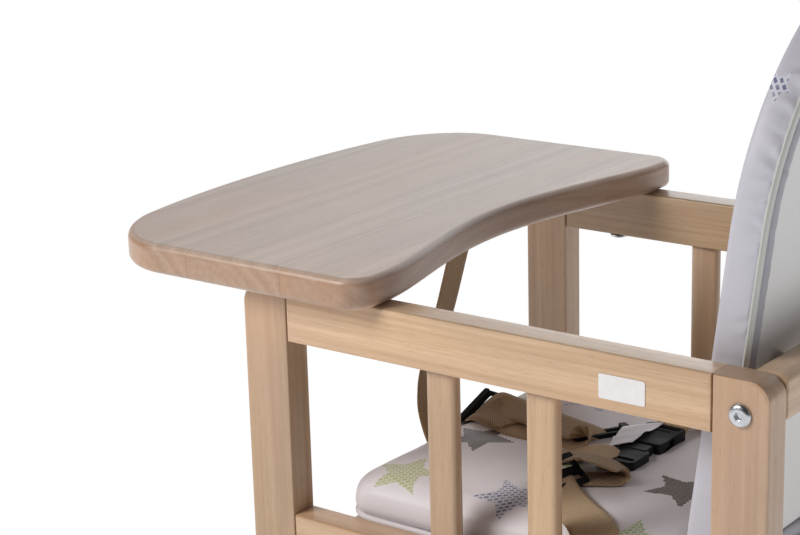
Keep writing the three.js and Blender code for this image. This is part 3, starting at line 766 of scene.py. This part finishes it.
def pillow(name, outline, low, high, crown, edge, material, rings=14, turn=Matrix.Identity(4)):
    """A closed pad over an outline: nearly upright sides, edges rounded over and a crowned top."""
    centre_u = sum(u for u, v in outline) / len(outline)
    centre_v = sum(v for u, v in outline) / len(outline)
    count = len(outline)
    layers = []

    def ring(inset, height):
        points = []
        for i, (u, v) in enumerate(outline):
            before, after = outline[i - 1], outline[(i + 1) % count]
            tangent = Vector((after[0] - before[0], after[1] - before[1], 0)).normalized()
            inward = Vector((-tangent.y, tangent.x, 0))
            if inward.dot(Vector((centre_u - u, centre_v - v, 0))) < 0:
                inward = -inward
            points.append(Vector((u, v, 0)) + inward * inset + Vector((0, 0, height)))
        return points

    layers.append(ring(edge * 0.6, low))
    layers.append(ring(0.0, low + edge * 0.5))
    for k in range(1, 7):
        angle = k / 6 * math.pi / 2
        layers.append(ring(edge * (1 - math.cos(angle)), high - edge + edge * math.sin(angle)))
    rim = layers[-1]
    for k in range(1, rings):
        f = k / rings
        shrunk = [Vector((centre_u, centre_v, high)).lerp(p, 1 - f) for p in rim]
        rise = crown * (1 - (1 - f) ** 2.4)
        layers.append([p + Vector((0, 0, rise)) for p in shrunk])
    verts = [p for layer in layers for p in layer]
    faces = []
    for k in range(len(layers) - 1):
        for i in range(count):
            j = (i + 1) % count
            faces.append((k * count + i, k * count + j, (k + 1) * count + j, (k + 1) * count + i))
    verts.append(Vector((centre_u, centre_v, high + crown)))
    last = (len(layers) - 1) * count
    faces += [(last + i, last + (i + 1) % count, len(verts) - 1) for i in range(count)]
    verts.append(Vector((centre_u, centre_v, low)))
    faces += [((i + 1) % count, i, len(verts) - 1) for i in range(count)]
    return outward(from_faces(name, [turn @ p for p in verts], faces, material))


def rounded_rectangle(low_u, low_v, high_u, high_v, corner, per_corner=8, per_side=14):
    """An outline with even points along its sides, for skins that will be puffed."""
    corners = (
        (high_u - corner, low_v + corner, -90), (high_u - corner, high_v - corner, 0),
        (low_u + corner, high_v - corner, 90), (low_u + corner, low_v + corner, 180),
    )
    points = []
    for k, (u, v, start) in enumerate(corners):
        points += arc(u, v, corner, start, start + 90, per_corner)
        next_u, next_v, next_start = corners[(k + 1) % 4]
        first = arc(next_u, next_v, corner, next_start, next_start, 1)[0]
        last = points[-1]
        points += [(last[0] + (first[0] - last[0]) * t / per_side,
                    last[1] + (first[1] - last[1]) * t / per_side)
                   for t in range(1, per_side)]
    return points


SEAT_CORNER, SEAT_EDGE, SEAT_CROWN = 0.030, 0.017, 0.005
# the piped seam, and how the wall draws in at it
SEAM_HEIGHT, SEAM_REACH, SEAM_DRAW = 0.0085, 0.006, 0.0022
# how far in from the sides the wall counts, and how far it leans in
WALL_BAND, WALL_LEAN = 0.03, 0.0055


def add_seat_cushion():
    low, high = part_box("seat_cushion")
    seam_z = low.z + SEAM_HEIGHT
    outline = rounded_rectangle(low.x + 0.003, low.y + 0.003, high.x - 0.003, high.y - 0.002, SEAT_CORNER)
    cushion = pillow("seat_pad", outline, low.z, high.z - 0.002, SEAT_CROWN, SEAT_EDGE, SEAT_CLOTH)
    swell(cushion, 4.0, 0.005)
    subdivide_once(cushion)
    fit_box(cushion, Vector((low.x + 0.0005, low.y + 0.0005, low.z)),
            Vector((high.x - 0.0005, high.y - 0.0005, high.z + 0.0030)))
    middle_y, half_y = (low.y + high.y) / 2, (high.y - low.y) / 2
    # the sewn edge: the side wall is drawn in a little at the piping, and gathers faintly above it
    for vertex in cushion.data.vertices:
        place = vertex.co
        from_seam = (place.z - seam_z) / SEAM_REACH
        near_edge = max(abs(place.x) - (high.x - WALL_BAND), abs(place.y - middle_y) - half_y + WALL_BAND)
        if near_edge > 0:
            draw = SEAM_DRAW * math.exp(-from_seam * from_seam)
            # the wall leans in towards the top, so that the seam stands out furthest
            climb = min(max((place.z - seam_z) / (high.z - seam_z), 0.0), 1.0)
            lean = WALL_LEAN * climb * min(near_edge / WALL_BAND, 1.0)
            middle = Vector((0, middle_y, place.z))
            place -= (place - middle).normalized() * (draw + lean)
    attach(cushion, CHAIR)
    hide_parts("seat_cushion")
    seam = rounded_rectangle(low.x + 0.0030, low.y + 0.0030, high.x - 0.0030, high.y - 0.0030, SEAT_CORNER)
    piping = tube("seat_piping", [Vector((u, v, seam_z)) for u, v in seam], 0.0026, PLAIN_CLOTH, closed=True)
    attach(piping, CHAIR)


add_seat_cushion()


# ---- reclined back -----------------------------------------------------------------------------------
BACK_ANGLE = math.radians(7.4)
BACK_ORIGIN = Vector((0, 0.2144, 0.730))
BACK_TURN = Matrix.Translation(BACK_ORIGIN) @ Matrix.Rotation(-BACK_ANGLE, 4, "X")
BACK_HALF = 0.179
BACK_FOOT = -0.150
BACK_ROUND = 0.129
# in the back's own frame, (u, v, w) is (across, up, out of the front face): w runs towards -Y
BACK_FACE = BACK_TURN @ Matrix(((1, 0, 0, 0), (0, 0, -1, 0), (0, 1, 0, 0), (0, 0, 0, 1)))


def back_outline(inset, per_side=22, round_steps=64):
    half = BACK_HALF - inset
    foot = BACK_FOOT + inset
    corner = 0.012
    straight = BACK_ROUND - foot - corner
    points = arc(half - corner, foot + corner, corner, -90, 0, 5)
    points += [(half, foot + corner + straight * t / per_side) for t in range(1, per_side)]
    points += arc(0, BACK_ROUND, half, 0, 180, round_steps)
    points += [(-half, BACK_ROUND - straight * t / per_side) for t in range(1, per_side)]
    points += arc(-half + corner, foot + corner, corner, 180, 270, 5)
    span = 2 * (half - corner)
    points += [(-half + corner + span * t / 16, foot) for t in range(1, 16)]
    return points


def back_loft(name, section, material, relief=None, per_side=110, round_steps=240):
    """A closed ring round the back's outline. section gives (inset, w) all round one cut through it, and
    relief takes a place in the section and a length along the outline, and gives (more inset, more w)."""
    edge = back_outline(0.0, per_side, round_steps)
    inner = back_outline(MM, per_side, round_steps)
    ways = [(Vector(b) - Vector(a)) / MM for a, b in zip(edge, inner)]
    travelled, lengths = 0.0, []
    for i, point in enumerate(edge):
        travelled += (Vector(point) - Vector(edge[i - 1])).length if i else 0.0
        lengths.append(travelled)
    count = len(edge)
    verts = []
    for k, (inset, w) in enumerate(section):
        for i, (point, way) in enumerate(zip(edge, ways)):
            more_inset, more_w = relief(k, lengths[i], point) if relief else (0.0, 0.0)
            u, v = Vector(point) + way * (inset + more_inset)
            verts.append(BACK_FACE @ Vector((u, v, w + more_w)))
    faces = []
    for k in range(len(section)):
        base, above = k * count, (k + 1) % len(section) * count
        faces += [(base + i, base + (i + 1) % count, above + (i + 1) % count, above + i)
                  for i in range(count)]
    return outward(from_faces(name, verts, faces, material))


def join(target, *others):
    """Adds other meshes, with their materials, to the target's own mesh."""
    chosen = [target, *others]
    with bpy.context.temp_override(active_object=target, object=target, selected_editable_objects=chosen,
                                   selected_objects=chosen):
        bpy.ops.object.join()
    return target


def keep_in_outline(pad, least):
    """Presses a puffed pad's rim back inside the cover's own outline."""
    there, back = BACK_FACE.inverted(), BACK_FACE
    for vertex in pad.data.vertices:
        u, v, w = there @ vertex.co
        if v > BACK_ROUND:
            radius = math.hypot(u, v - BACK_ROUND)
            share = min(1.0, (BACK_HALF - least) / max(radius, 1e-6))
            u, v = u * share, BACK_ROUND + (v - BACK_ROUND) * share
        else:
            u = max(-BACK_HALF + least, min(BACK_HALF - least, u))
            v = max(BACK_FOOT + least, v)
        vertex.co = back @ Vector((u, v, max(w, -0.0150)))


# one cut through the side band, as (inset, w), from the front face round to the rear
BAND_SECTION = [
    (0.0036, 0.0002), (0.0016, 0.0010), (0.0004, 0.0002), (0.0, -0.0030), (-0.0002, -0.0080),
    (-0.0003, -0.0130), (-0.0003, -0.0160), (-0.0001, -0.0185), (0.0001, -0.0205), (0.0007, -0.0222),
    (0.0022, -0.0230), (0.0038, -0.0226), (0.0038, -0.0150),
]


def band_puckers(k, length, point):
    """Short slanting gathers in the band, deepest beside the binding and stronger round the curve."""
    w = BAND_SECTION[k][1]
    near_rear = max(0.0, min(1.0, (-w - 0.0075) / 0.0115))
    if near_rear <= 0 or k > 9:
        return 0.0, 0.0
    curve = 1.0 if point[1] > BACK_ROUND - 0.02 else 0.45
    slanted = length + 0.35 * (w + 0.02) * (1 if noise.noise(Vector((length * 30, 3.1, 0))) > 0 else -1)
    coarse = noise.noise(Vector((slanted * 190, 0.7, 2.3)))
    fine = noise.noise(Vector((slanted * 380, 5.7, 1.3)))
    dent = max(0.0, coarse + 0.1) ** 1.1 * 0.0052 + max(0.0, fine) * 0.0022
    return min(dent, 0.0026) * curve * near_rear ** 1.2, 0.0


def hem_gathers(k, length, point):
    """The drawn-in hem's ripples, in and out of the rear face."""
    wave = noise.noise(Vector((length * 210, 1.9, 4.4))) + 0.4 * noise.noise(Vector((length * 420, 7.9, 0.4)))
    inner = 1.0 if k in (3, 4) else 0.55
    return 0.0012 * wave * inner * (k in (3, 4, 5)), 0.0011 * wave * inner * (k in (1, 2, 3, 4))


def add_back():
    board_front, board_thick = 0.0153, 0.006
    # the skin starts smaller where it is going to be puffed
    start, inset = ((0.0016, 0.0024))
    pad = pillow("back_pad", back_outline(inset), -0.0150, -start, 0.003, 0.006, BACK_CLOTH, rings=16,
                 turn=BACK_FACE)
    swell(pad, 4.0, 0.004)
    subdivide_once(pad)
    keep_in_outline(pad, 0.0006)
    band = back_loft("back_cover_band", BAND_SECTION, SHADED_BAND_CLOTH, band_puckers)
    join(pad, band)
    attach(pad, CHAIR)
    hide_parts("back_cushion")

    rolled = [(0.0046 + 0.0043 * math.cos(a), -0.0232 + 0.0016 * math.sin(a))
              for a in (k / 12 * 2 * math.pi for k in range(12))]
    binding = back_loft("back_binding", rolled, BINDING)
    hem_section = [(0.0086, -0.0216), (0.0092, -0.0228), (0.0140, -0.0235),
                   (0.0190, -0.0234), (0.0224, -0.0225), (0.0226, -0.0214)]
    hem = back_loft("back_hem", hem_section, SHADED_HEM_CLOTH, hem_gathers)
    for piece in (binding, hem):
        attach(piece, CHAIR)

    board = rounded_slab("back_panel", back_outline(0.004), -board_front - board_thick, -board_front,
                         0.0012, 2, PANEL, BACK_FACE)
    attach(board, CHAIR)
    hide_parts("back_board")


add_back()


# ---- fasteners -------------------------------------------------------------------------------------
def button_head(name, radius, height, key, matrix, material):
    """A round screw head with a hexagon socket, standing on z = 0 before matrix places it."""
    sides = 48
    dome = [(1.0, 0.0), (1.0, 0.16), (0.97, 0.42), (0.90, 0.66), (0.79, 0.86), (0.66, 0.97), (0.55, 1.0)]
    rings = [[(radius * r, height * h)] * sides for r, h in dome]
    flat = [key / 2 / math.cos((2 * math.pi * i / sides + math.pi / 6) % (math.pi / 3) - math.pi / 6)
            for i in range(sides)]
    rings += [[(f + 0.0004, height) for f in flat], [(f, 0.94 * height) for f in flat],
              [(f, 0.25 * height) for f in flat]]
    verts = [Vector((r * math.cos(2 * math.pi * i / sides), r * math.sin(2 * math.pi * i / sides), h))
             for ring in rings for i, (r, h) in enumerate(ring)]
    faces = [(k * sides + i, k * sides + (i + 1) % sides,
              (k + 1) * sides + (i + 1) % sides, (k + 1) * sides + i)
             for k in range(len(rings) - 1) for i in range(sides)]
    faces.append(tuple(range(sides))[::-1])
    faces.append(tuple((len(rings) - 1) * sides + i for i in range(sides)))
    return keep_crisp(outward(from_faces(name, [matrix @ v for v in verts], faces, material)))


def add_bolt_heads():
    for side, sign in (("left", 1), ("right", -1)):
        low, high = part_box("frame_bolt_" + side)
        outer = high.x if sign > 0 else -low.x
        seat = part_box("rear_post_left")[1].x
        middle = Vector((sign * seat, (low.y + high.y) / 2, (low.z + high.z) / 2))
        out = Matrix.Translation(middle) @ Matrix.Rotation(sign * math.pi / 2, 4, "Y")
        head = button_head("bolt_head_" + side, (high.z - low.z) / 2, outer - seat, 0.0052, out, ZINC)
        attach(head, CHAIR)
        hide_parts("frame_bolt_" + side)


add_bolt_heads()


# ---- harness ---------------------------------------------------------------------------------------
ACROSS_X = Vector((1, 0, 0))
HARNESS_WIDE, TRAY_STRAP_WIDE, TAIL_WIDE = 0.038, 0.030, 0.034
TRAY_STRAP_PATH = [
    (0, -0.114, 0.7695), (0, -0.120, 0.750), (0, -0.133, 0.705), (0, -0.142, 0.678), (0, -0.152, 0.644),
    (0, -0.155, 0.625), (0, -0.1545, 0.605), (0, -0.146, 0.580), (0, -0.131, 0.560), (0, -0.113, 0.543),
    (0, -0.1086, 0.532),
]


def add_tray_strap():
    strap = ribbon("tray_strap_webbing", TRAY_STRAP_PATH, ACROSS_X, TRAY_STRAP_WIDE, 0.0018, WEBBING,
                   steps=80, cup=0.0008)
    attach(strap, CHAIR)
    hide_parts("tray_strap")


add_tray_strap()


def loose(piece, slot, body=CHAIR, *stands_for):
    """Rides a made piece on a body and hides the CAD nodes that it stands for. Its slot is not used."""
    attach(piece, body)
    if stands_for:
        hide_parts(*stands_for)
    return piece


def prism(outline, low, high):
    """A temporary upright solid over an outline."""
    count = len(outline)
    verts = [(u, v, low) for u, v in outline] + [(u, v, high) for u, v in outline]
    faces = [tuple(range(count))[::-1], tuple(range(count, 2 * count))]
    faces += [(i, (i + 1) % count, count + (i + 1) % count, count + i) for i in range(count)]
    return outward(from_faces("prism", verts, faces, BLACK, smooth=False))


def moulded(name, first, added, removed, soft, matrix, material):
    """A moulded part: solids added and removed, then every arris softened."""
    piece = prism(*first)
    for operation, solids in (("UNION", added), ("DIFFERENCE", removed)):
        for solid in solids:
            other = prism(*solid)
            change = piece.modifiers.new("change", "BOOLEAN")
            change.operation, change.solver, change.object = operation, "EXACT", other
            apply_modifiers(piece)
            bpy.data.objects.remove(other)
    bevel = piece.modifiers.new("soft", "BEVEL")
    bevel.width, bevel.segments, bevel.limit_method, bevel.angle_limit = soft, 2, "ANGLE", math.radians(35)
    apply_modifiers(piece)
    piece.data.transform(matrix)
    piece.name = name
    dress(piece, material)
    piece.data.polygons.foreach_set("use_smooth", [True] * len(piece.data.polygons))
    return keep_crisp(piece)


def box_outline(low_u, low_v, high_u, high_v, corner=0.002, count=3):
    return rounded_rectangle(low_u, low_v, high_u, high_v, corner, count, 1)


def ladder_lock(name, matrix, body, node):
    """A strap adjuster: a flat plate with two slots, its end bars thickened, its grip turned up."""
    half, reach = 0.0225, 0.0145
    slots = [(box_outline(-0.0198, y - 0.0026, 0.0198, y + 0.0026, 0.0015), -0.01, 0.01)
             for y in (-0.0062, 0.0062)]
    bars = [(box_outline(-half, reach - 0.0042, half, reach + 0.0010, 0.0018), -0.0017, 0.0032),
            (box_outline(-0.0205, -0.0022, 0.0205, 0.0022, 0.0008), -0.0017, 0.0024)]
    plate = moulded(name, (box_outline(-half, -reach, half, reach, 0.0040), -0.0017, 0.0017), bars, slots,
                    0.0005, matrix, BLACK)
    return loose(plate, "black_plastic", body, node)


def set_at(place, heading, pitch=0.0, roll=0.0):
    """A placing: +Y along a heading in degrees from the row's +Y, pitched nose up and rolled left side up."""
    return (Matrix.Translation(place) @ Matrix.Rotation(math.radians(heading), 4, "Z")
            @ Matrix.Rotation(math.radians(pitch), 4, "X") @ Matrix.Rotation(math.radians(roll), 4, "Y"))


def stitches(name, start, end, count, slant=0.35):
    """A row of short slanting stitches lying on a strap."""
    start, end = Vector(start), Vector(end)
    step = (end - start) / count
    side = Vector((-step.y, step.x, 0)).normalized() * step.length * slant
    runs = []
    for i in range(count):
        a, b = start + step * (i + 0.15) - side, start + step * (i + 0.85) + side
        middle = (a + b) / 2 + Vector((0, 0, 0.0005))
        runs.append(tube(name if not runs else "stitch", [a, middle, b], 0.00036, THREAD))
    return loose(join(*runs), "webbing")


def add_crotch_strap():
    wide, rolled = (1, -0.12, 0), (0.93, -0.03, -0.33)
    path = [
        ((0.004, -0.094, 0.6170), rolled), ((0.014, -0.074, 0.6178), wide), ((0.026, -0.040, 0.6176), wide),
        ((0.029, 0.000, 0.6178), (1, 0, 0)), ((0.027, 0.020, 0.6183), (1, 0.1, 0)),
        ((0.024, 0.0255, 0.6204), (1, 0.1, 0)),
        ((0.020, 0.020, 0.6226), (1, 0.1, 0)), ((0.012, -0.010, 0.6222), (1, -0.2, -0.02)),
        ((0.003, -0.045, 0.6216), (1, -0.2, -0.05)), ((0.000, -0.072, 0.6212), (1, -0.1, -0.2)),
        ((0.000, -0.088, 0.6206), rolled), ((0.000, -0.1015, 0.6120), rolled),
        ((0.000, -0.1108, 0.6030), (1, 0, -0.15)),
        ((0.000, -0.1140, 0.5900), (1, 0, 0)), ((0.000, -0.1138, 0.5740), (1, 0, 0)),
    ]
    strap = ribbon("crotch_strap", [p for p, w in path], [w for p, w in path], HARNESS_WIDE, 0.0017, WEBBING,
                   steps=150)
    loose(strap, "webbing", CHAIR, "crotch_webbing")
    end_path = [(0.006, -0.091, 0.6194), (0.014, -0.074, 0.6197), (0.0245, -0.0475, 0.6194)]
    turned = ribbon("crotch_strap_end", end_path, [Vector(rolled), Vector(wide), Vector(wide)], 0.0375,
                    0.0019, SHADED_WEBBING, steps=40)
    loose(turned, "webbing")
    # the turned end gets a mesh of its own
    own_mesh(turned)
    for index, back in enumerate((0.0016, 0.0075)):
        middle = Vector((0.0242 - 0.2 * back, -0.0480 - back, 0.6205))
        reach = Vector((0.0170, -0.0018, 0))
        stitches("crotch_stitches_%d" % index, middle - reach, middle + reach, 10)
    ring = moulded("crotch_ring", (box_outline(-0.0245, -0.0055, 0.0245, 0.0055, 0.0025), -0.0019, 0.0019),
                   [(box_outline(-0.0245, -0.0055, -0.0180, 0.0055, 0.0020), -0.0019, 0.0048)],
                   [(box_outline(-0.0175, -0.0026, 0.0195, 0.0026, 0.0012), -0.01, 0.01)], 0.0005,
                   set_at((0.008, 0.0275, 0.6205), -31), BLACK)
    loose(ring, "black_plastic")


def add_waist_belts():
    near = [(0.1858, 0.1370, 0.576), (0.1856, 0.1368, 0.594), (0.1795, 0.1290, 0.6095),
            (0.166, 0.114, 0.6178), (0.1475, 0.087, 0.6190), (0.133, 0.0655, 0.6206),
            (0.1235, 0.0515, 0.6252)]
    loose(ribbon("waist_strap_left", near, Vector((0.827, -0.562, 0)), HARNESS_WIDE, 0.0018, LIT_WEBBING,
                 steps=90), "webbing", CHAIR, "waist_belt_left")
    ladder_lock("ladder_lock_left", set_at((0.1165, 0.0560, 0.6272), 166, 34, 4), "waist_adjuster_left",
                "waist_adjuster_left")
    far = [(-0.1858, 0.1330, 0.576), (-0.1856, 0.1330, 0.594), (-0.1795, 0.1300, 0.6095),
           (-0.164, 0.1200, 0.6178), (-0.130, 0.1105, 0.6190), (-0.100, 0.1018, 0.6196),
           (-0.069, 0.0925, 0.6200)]
    across = Vector((0.2756, 0.9613, 0))
    loose(ribbon("waist_strap_right", far, across, HARNESS_WIDE, 0.0018, WEBBING, steps=90), "webbing", CHAIR,
          "waist_belt_right")
    ladder_lock("ladder_lock_right", set_at((-0.0974, 0.1006, 0.6205), -106), "waist_adjuster_right",
                "waist_adjuster_right")
    # the near belt's tail folds over once, and its other run passes on into the buckle
    view = (0.8, 0.6, 0.06)
    tail = [(0.108, 0.050, 0.6330), (0.094, 0.056, 0.6345), (0.083, 0.069, 0.6310), (0.0765, 0.083, 0.6262),
            (0.0760, 0.0905, 0.6217), (0.0810, 0.083, 0.6182), (0.0900, 0.067, 0.6178),
            (0.0970, 0.054, 0.6178)]
    ways = [Vector((0.8, 0.5, 0.30)), Vector((0.8, 0.6, 0.22)), Vector((0.8, 0.6, 0.12))] + [Vector(view)] * 5
    loose(ribbon("waist_tail_left", tail, ways, TAIL_WIDE, 0.0017, SHADED_WEBBING, steps=90), "webbing")
    stub = [(0.068, 0.018, 0.6186), (0.063, 0.032, 0.6200), (0.059, 0.046, 0.6256), (0.0575, 0.056, 0.6276),
            (0.057, 0.064, 0.6272), (0.057, 0.070, 0.6250)]
    loose(ribbon("buckle_strap_left", stub, Vector((0.93, 0.36, 0)), 0.030, 0.0017, LIT_WEBBING, steps=50),
          "webbing")
    link = [(-0.0690, 0.0918, 0.6222), (-0.0575, 0.0870, 0.6285), (-0.0440, 0.0810, 0.6330),
            (-0.0300, 0.0755, 0.6290), (-0.0205, 0.0740, 0.6215)]
    ways = [across, Vector((0.2, 0.98, 0)), Vector((0.1, 1, 0)), Vector((0, 1, 0)), Vector((0, 1, 0))]
    run = ribbon("buckle_strap_right", link, ways, 0.029, 0.0017, WEBBING, steps=50)
    loose(run, "webbing")
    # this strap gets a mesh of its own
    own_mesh(run)


BUCKLE_JOIN = Vector((0.018, 0.071, 0.6216))


def add_buckle():
    """A closed side-release buckle along the row's X axis, its plug nearer and its socket beyond."""
    here = Matrix.Translation(BUCKLE_JOIN)
    body = (box_outline(0.0135, -0.0170, 0.0440, 0.0170, 0.0045), -0.0036, 0.0036)
    added = [(box_outline(0.0030, -0.0125, 0.0150, 0.0125, 0.002), -0.0042, 0.0042),
             (box_outline(-0.0230, -0.0020, 0.0040, 0.0020, 0.001), -0.0020, 0.0020)]
    for sign in (1, -1):
        arm = [(0.0040, 0.0085), (0.0040, 0.0122), (-0.0080, 0.0128), (-0.0100, 0.0158), (-0.0170, 0.0164),
               (-0.0235, 0.0120), (-0.0235, 0.0098), (-0.0090, 0.0090)]
        added.append(([(u, sign * v) for u, v in arm][::sign], -0.0022, 0.0022))
    removed = [(box_outline(0.0345, -0.0148, 0.0395, 0.0148, 0.0015), -0.01, 0.01)]
    plug = moulded("buckle_plug_body", body, added, removed, 0.0006, here, BLACK)
    loose(plug, "black_plastic", CHAIR, "buckle_plug")

    shell = [(0.0, 0.0166), (-0.0080, 0.0178), (-0.0230, 0.0168), (-0.0300, 0.0172), (-0.0400, 0.0178),
             (-0.0440, 0.0140)]
    outline = shell + [(u, -v) for u, v in reversed(shell)]
    removed = [(box_outline(-0.0262, -0.0135, 0.0020, 0.0135, 0.001), -0.0030, 0.0030),
               (box_outline(-0.0395, -0.0148, -0.0345, 0.0148, 0.0015), -0.02, 0.02),
               (box_outline(-0.0310, -0.0110, -0.0050, 0.0110, 0.004), 0.0044, 0.01)]
    for sign in (1, -1):
        low, high = sorted((sign * 0.0125, sign * 0.0250))
        removed.append((box_outline(-0.0240, low, -0.0075, high, 0.001), -0.0031, 0.0031))
    socket = moulded("buckle_socket_body", (outline, -0.0050, 0.0050), [], removed, 0.0009, here, BLACK)
    loose(socket, "black_plastic", "buckle_socket", "buckle_socket")


def add_tag():
    """A small blank satin tag, sewn to the belt, that lies on the buckle, creased once."""
    corners = [Vector((-0.001, 0.042, 0.6268)), Vector((-0.027, 0.067, 0.6275)),
               Vector((0.026, 0.0675, 0.6278)), Vector((0.044, 0.055, 0.6262))]
    steps, thick = 16, 0.0004
    verts, faces = [], []
    for surface in (0, 1):
        for i in range(steps + 1):
            for j in range(steps + 1):
                a, b = i / steps, j / steps
                low, high = corners[0].lerp(corners[3], a), corners[1].lerp(corners[2], a)
                crease = 0.0030 * math.exp(-((a - 0.62) / 0.10) ** 2) * (1 - 0.4 * b)
                wave = 0.0006 * math.sin(7 * a + 3 * b)
                verts.append(low.lerp(high, b) + Vector((0, 0, crease + wave + thick * surface)))
    size = (steps + 1) ** 2
    for i in range(steps):
        for j in range(steps):
            a = i * (steps + 1) + j
            quad = (a, a + 1, a + steps + 2, a + steps + 1)
            faces += [quad, tuple(size + q for q in quad[::-1])]
    rim = ([i * (steps + 1) for i in range(steps + 1)]
           + [steps * (steps + 1) + j for j in range(1, steps + 1)]
           + [i * (steps + 1) + steps for i in range(steps - 1, -1, -1)] + list(range(steps - 1, 0, -1)))
    faces += [(a, b, b + size, a + size) for a, b in zip(rim, rim[1:] + rim[:1])]
    tag = outward(from_faces("blank_tag", verts, faces, TAG_CLOTH))
    loose(tag, "coated_fabric")


# Darker and lighter copies of the one webbing: painted shade on the crotch strap's turned end and the near
# belt's tail, painted light on the near belt and its buckle strap.
SHADED_WEBBING = webbing("painted_shade_webbing", linear(198, 166, 129), linear(130, 104, 79))
LIT_WEBBING = webbing("painted_light_webbing", linear(228, 198, 156), linear(158, 129, 98))
add_crotch_strap()
ladder_lock("ladder_lock_crotch", set_at((0, -0.0925, 0.6152), 180, 5, -20), "crotch_adjuster",
            "crotch_adjuster")
add_waist_belts()
add_buckle()
add_tag()
dress(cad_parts["blank_label"], LABEL)


# ---- floor and light ---------------------------------------------------------------------------------
def add_floor():
    half = 30.0
    floor = from_faces("floor", [(-half, -half, 0), (half, -half, 0), (half, half, 0), (-half, half, 0)],
                       [(0, 1, 2, 3)], floor_paint("floor_paint"))


ROOM_LIGHT, BACKDROP_LIGHT = 0.045, 2.1
KEY_POWER, FILL_POWER = 25.5, 3.7


def add_area_light(name, place, target, size, power, colour=(1, 1, 1)):
    data = bpy.data.lights.new(name, "AREA")
    data.shape = "DISK"
    data.size = size
    data.energy = power
    data.color = colour
    light = bpy.data.objects.new(name, data)
    bpy.context.scene.collection.objects.link(light)
    light.location = place
    light.rotation_mode = "QUATERNION"
    light.rotation_quaternion = (Vector(target) - Vector(place)).to_track_quat("-Z", "Y")


BACKDROP_WAY = Vector((-0.97, -0.22, 0.0))     # where the bright backdrop stands, seen from the chair


def add_lights():
    scene = bpy.context.scene
    world = bpy.data.worlds.new("studio")
    world.use_nodes = True
    scene.world = world
    s = Shader.__new__(Shader)
    s.tree = world.node_tree
    background = s.tree.nodes["Background"]
    way = s.node("TexCoord").outputs["Generated"]
    facing = s.node("VectorMath", {"operation": "DOT_PRODUCT"})
    s.feed(facing.inputs[0], way)
    facing.inputs[1].default_value = BACKDROP_WAY
    glow = s.span(facing.outputs["Value"], 0.68, 1.0, ROOM_LIGHT, BACKDROP_LIGHT)
    s.feed(background.inputs["Strength"], glow)
    background.inputs["Color"].default_value = (0.97, 0.985, 1.0, 1.0)
    add_area_light("key", (1.38, -0.78, 1.80), (0.1, 0, 0.75), 0.9, KEY_POWER, (1.0, 0.985, 0.95))
    add_area_light("fill", (-0.35, 1.9, 1.5), (0, 0, 0.8), 1.2, FILL_POWER)


add_floor()
add_lights()
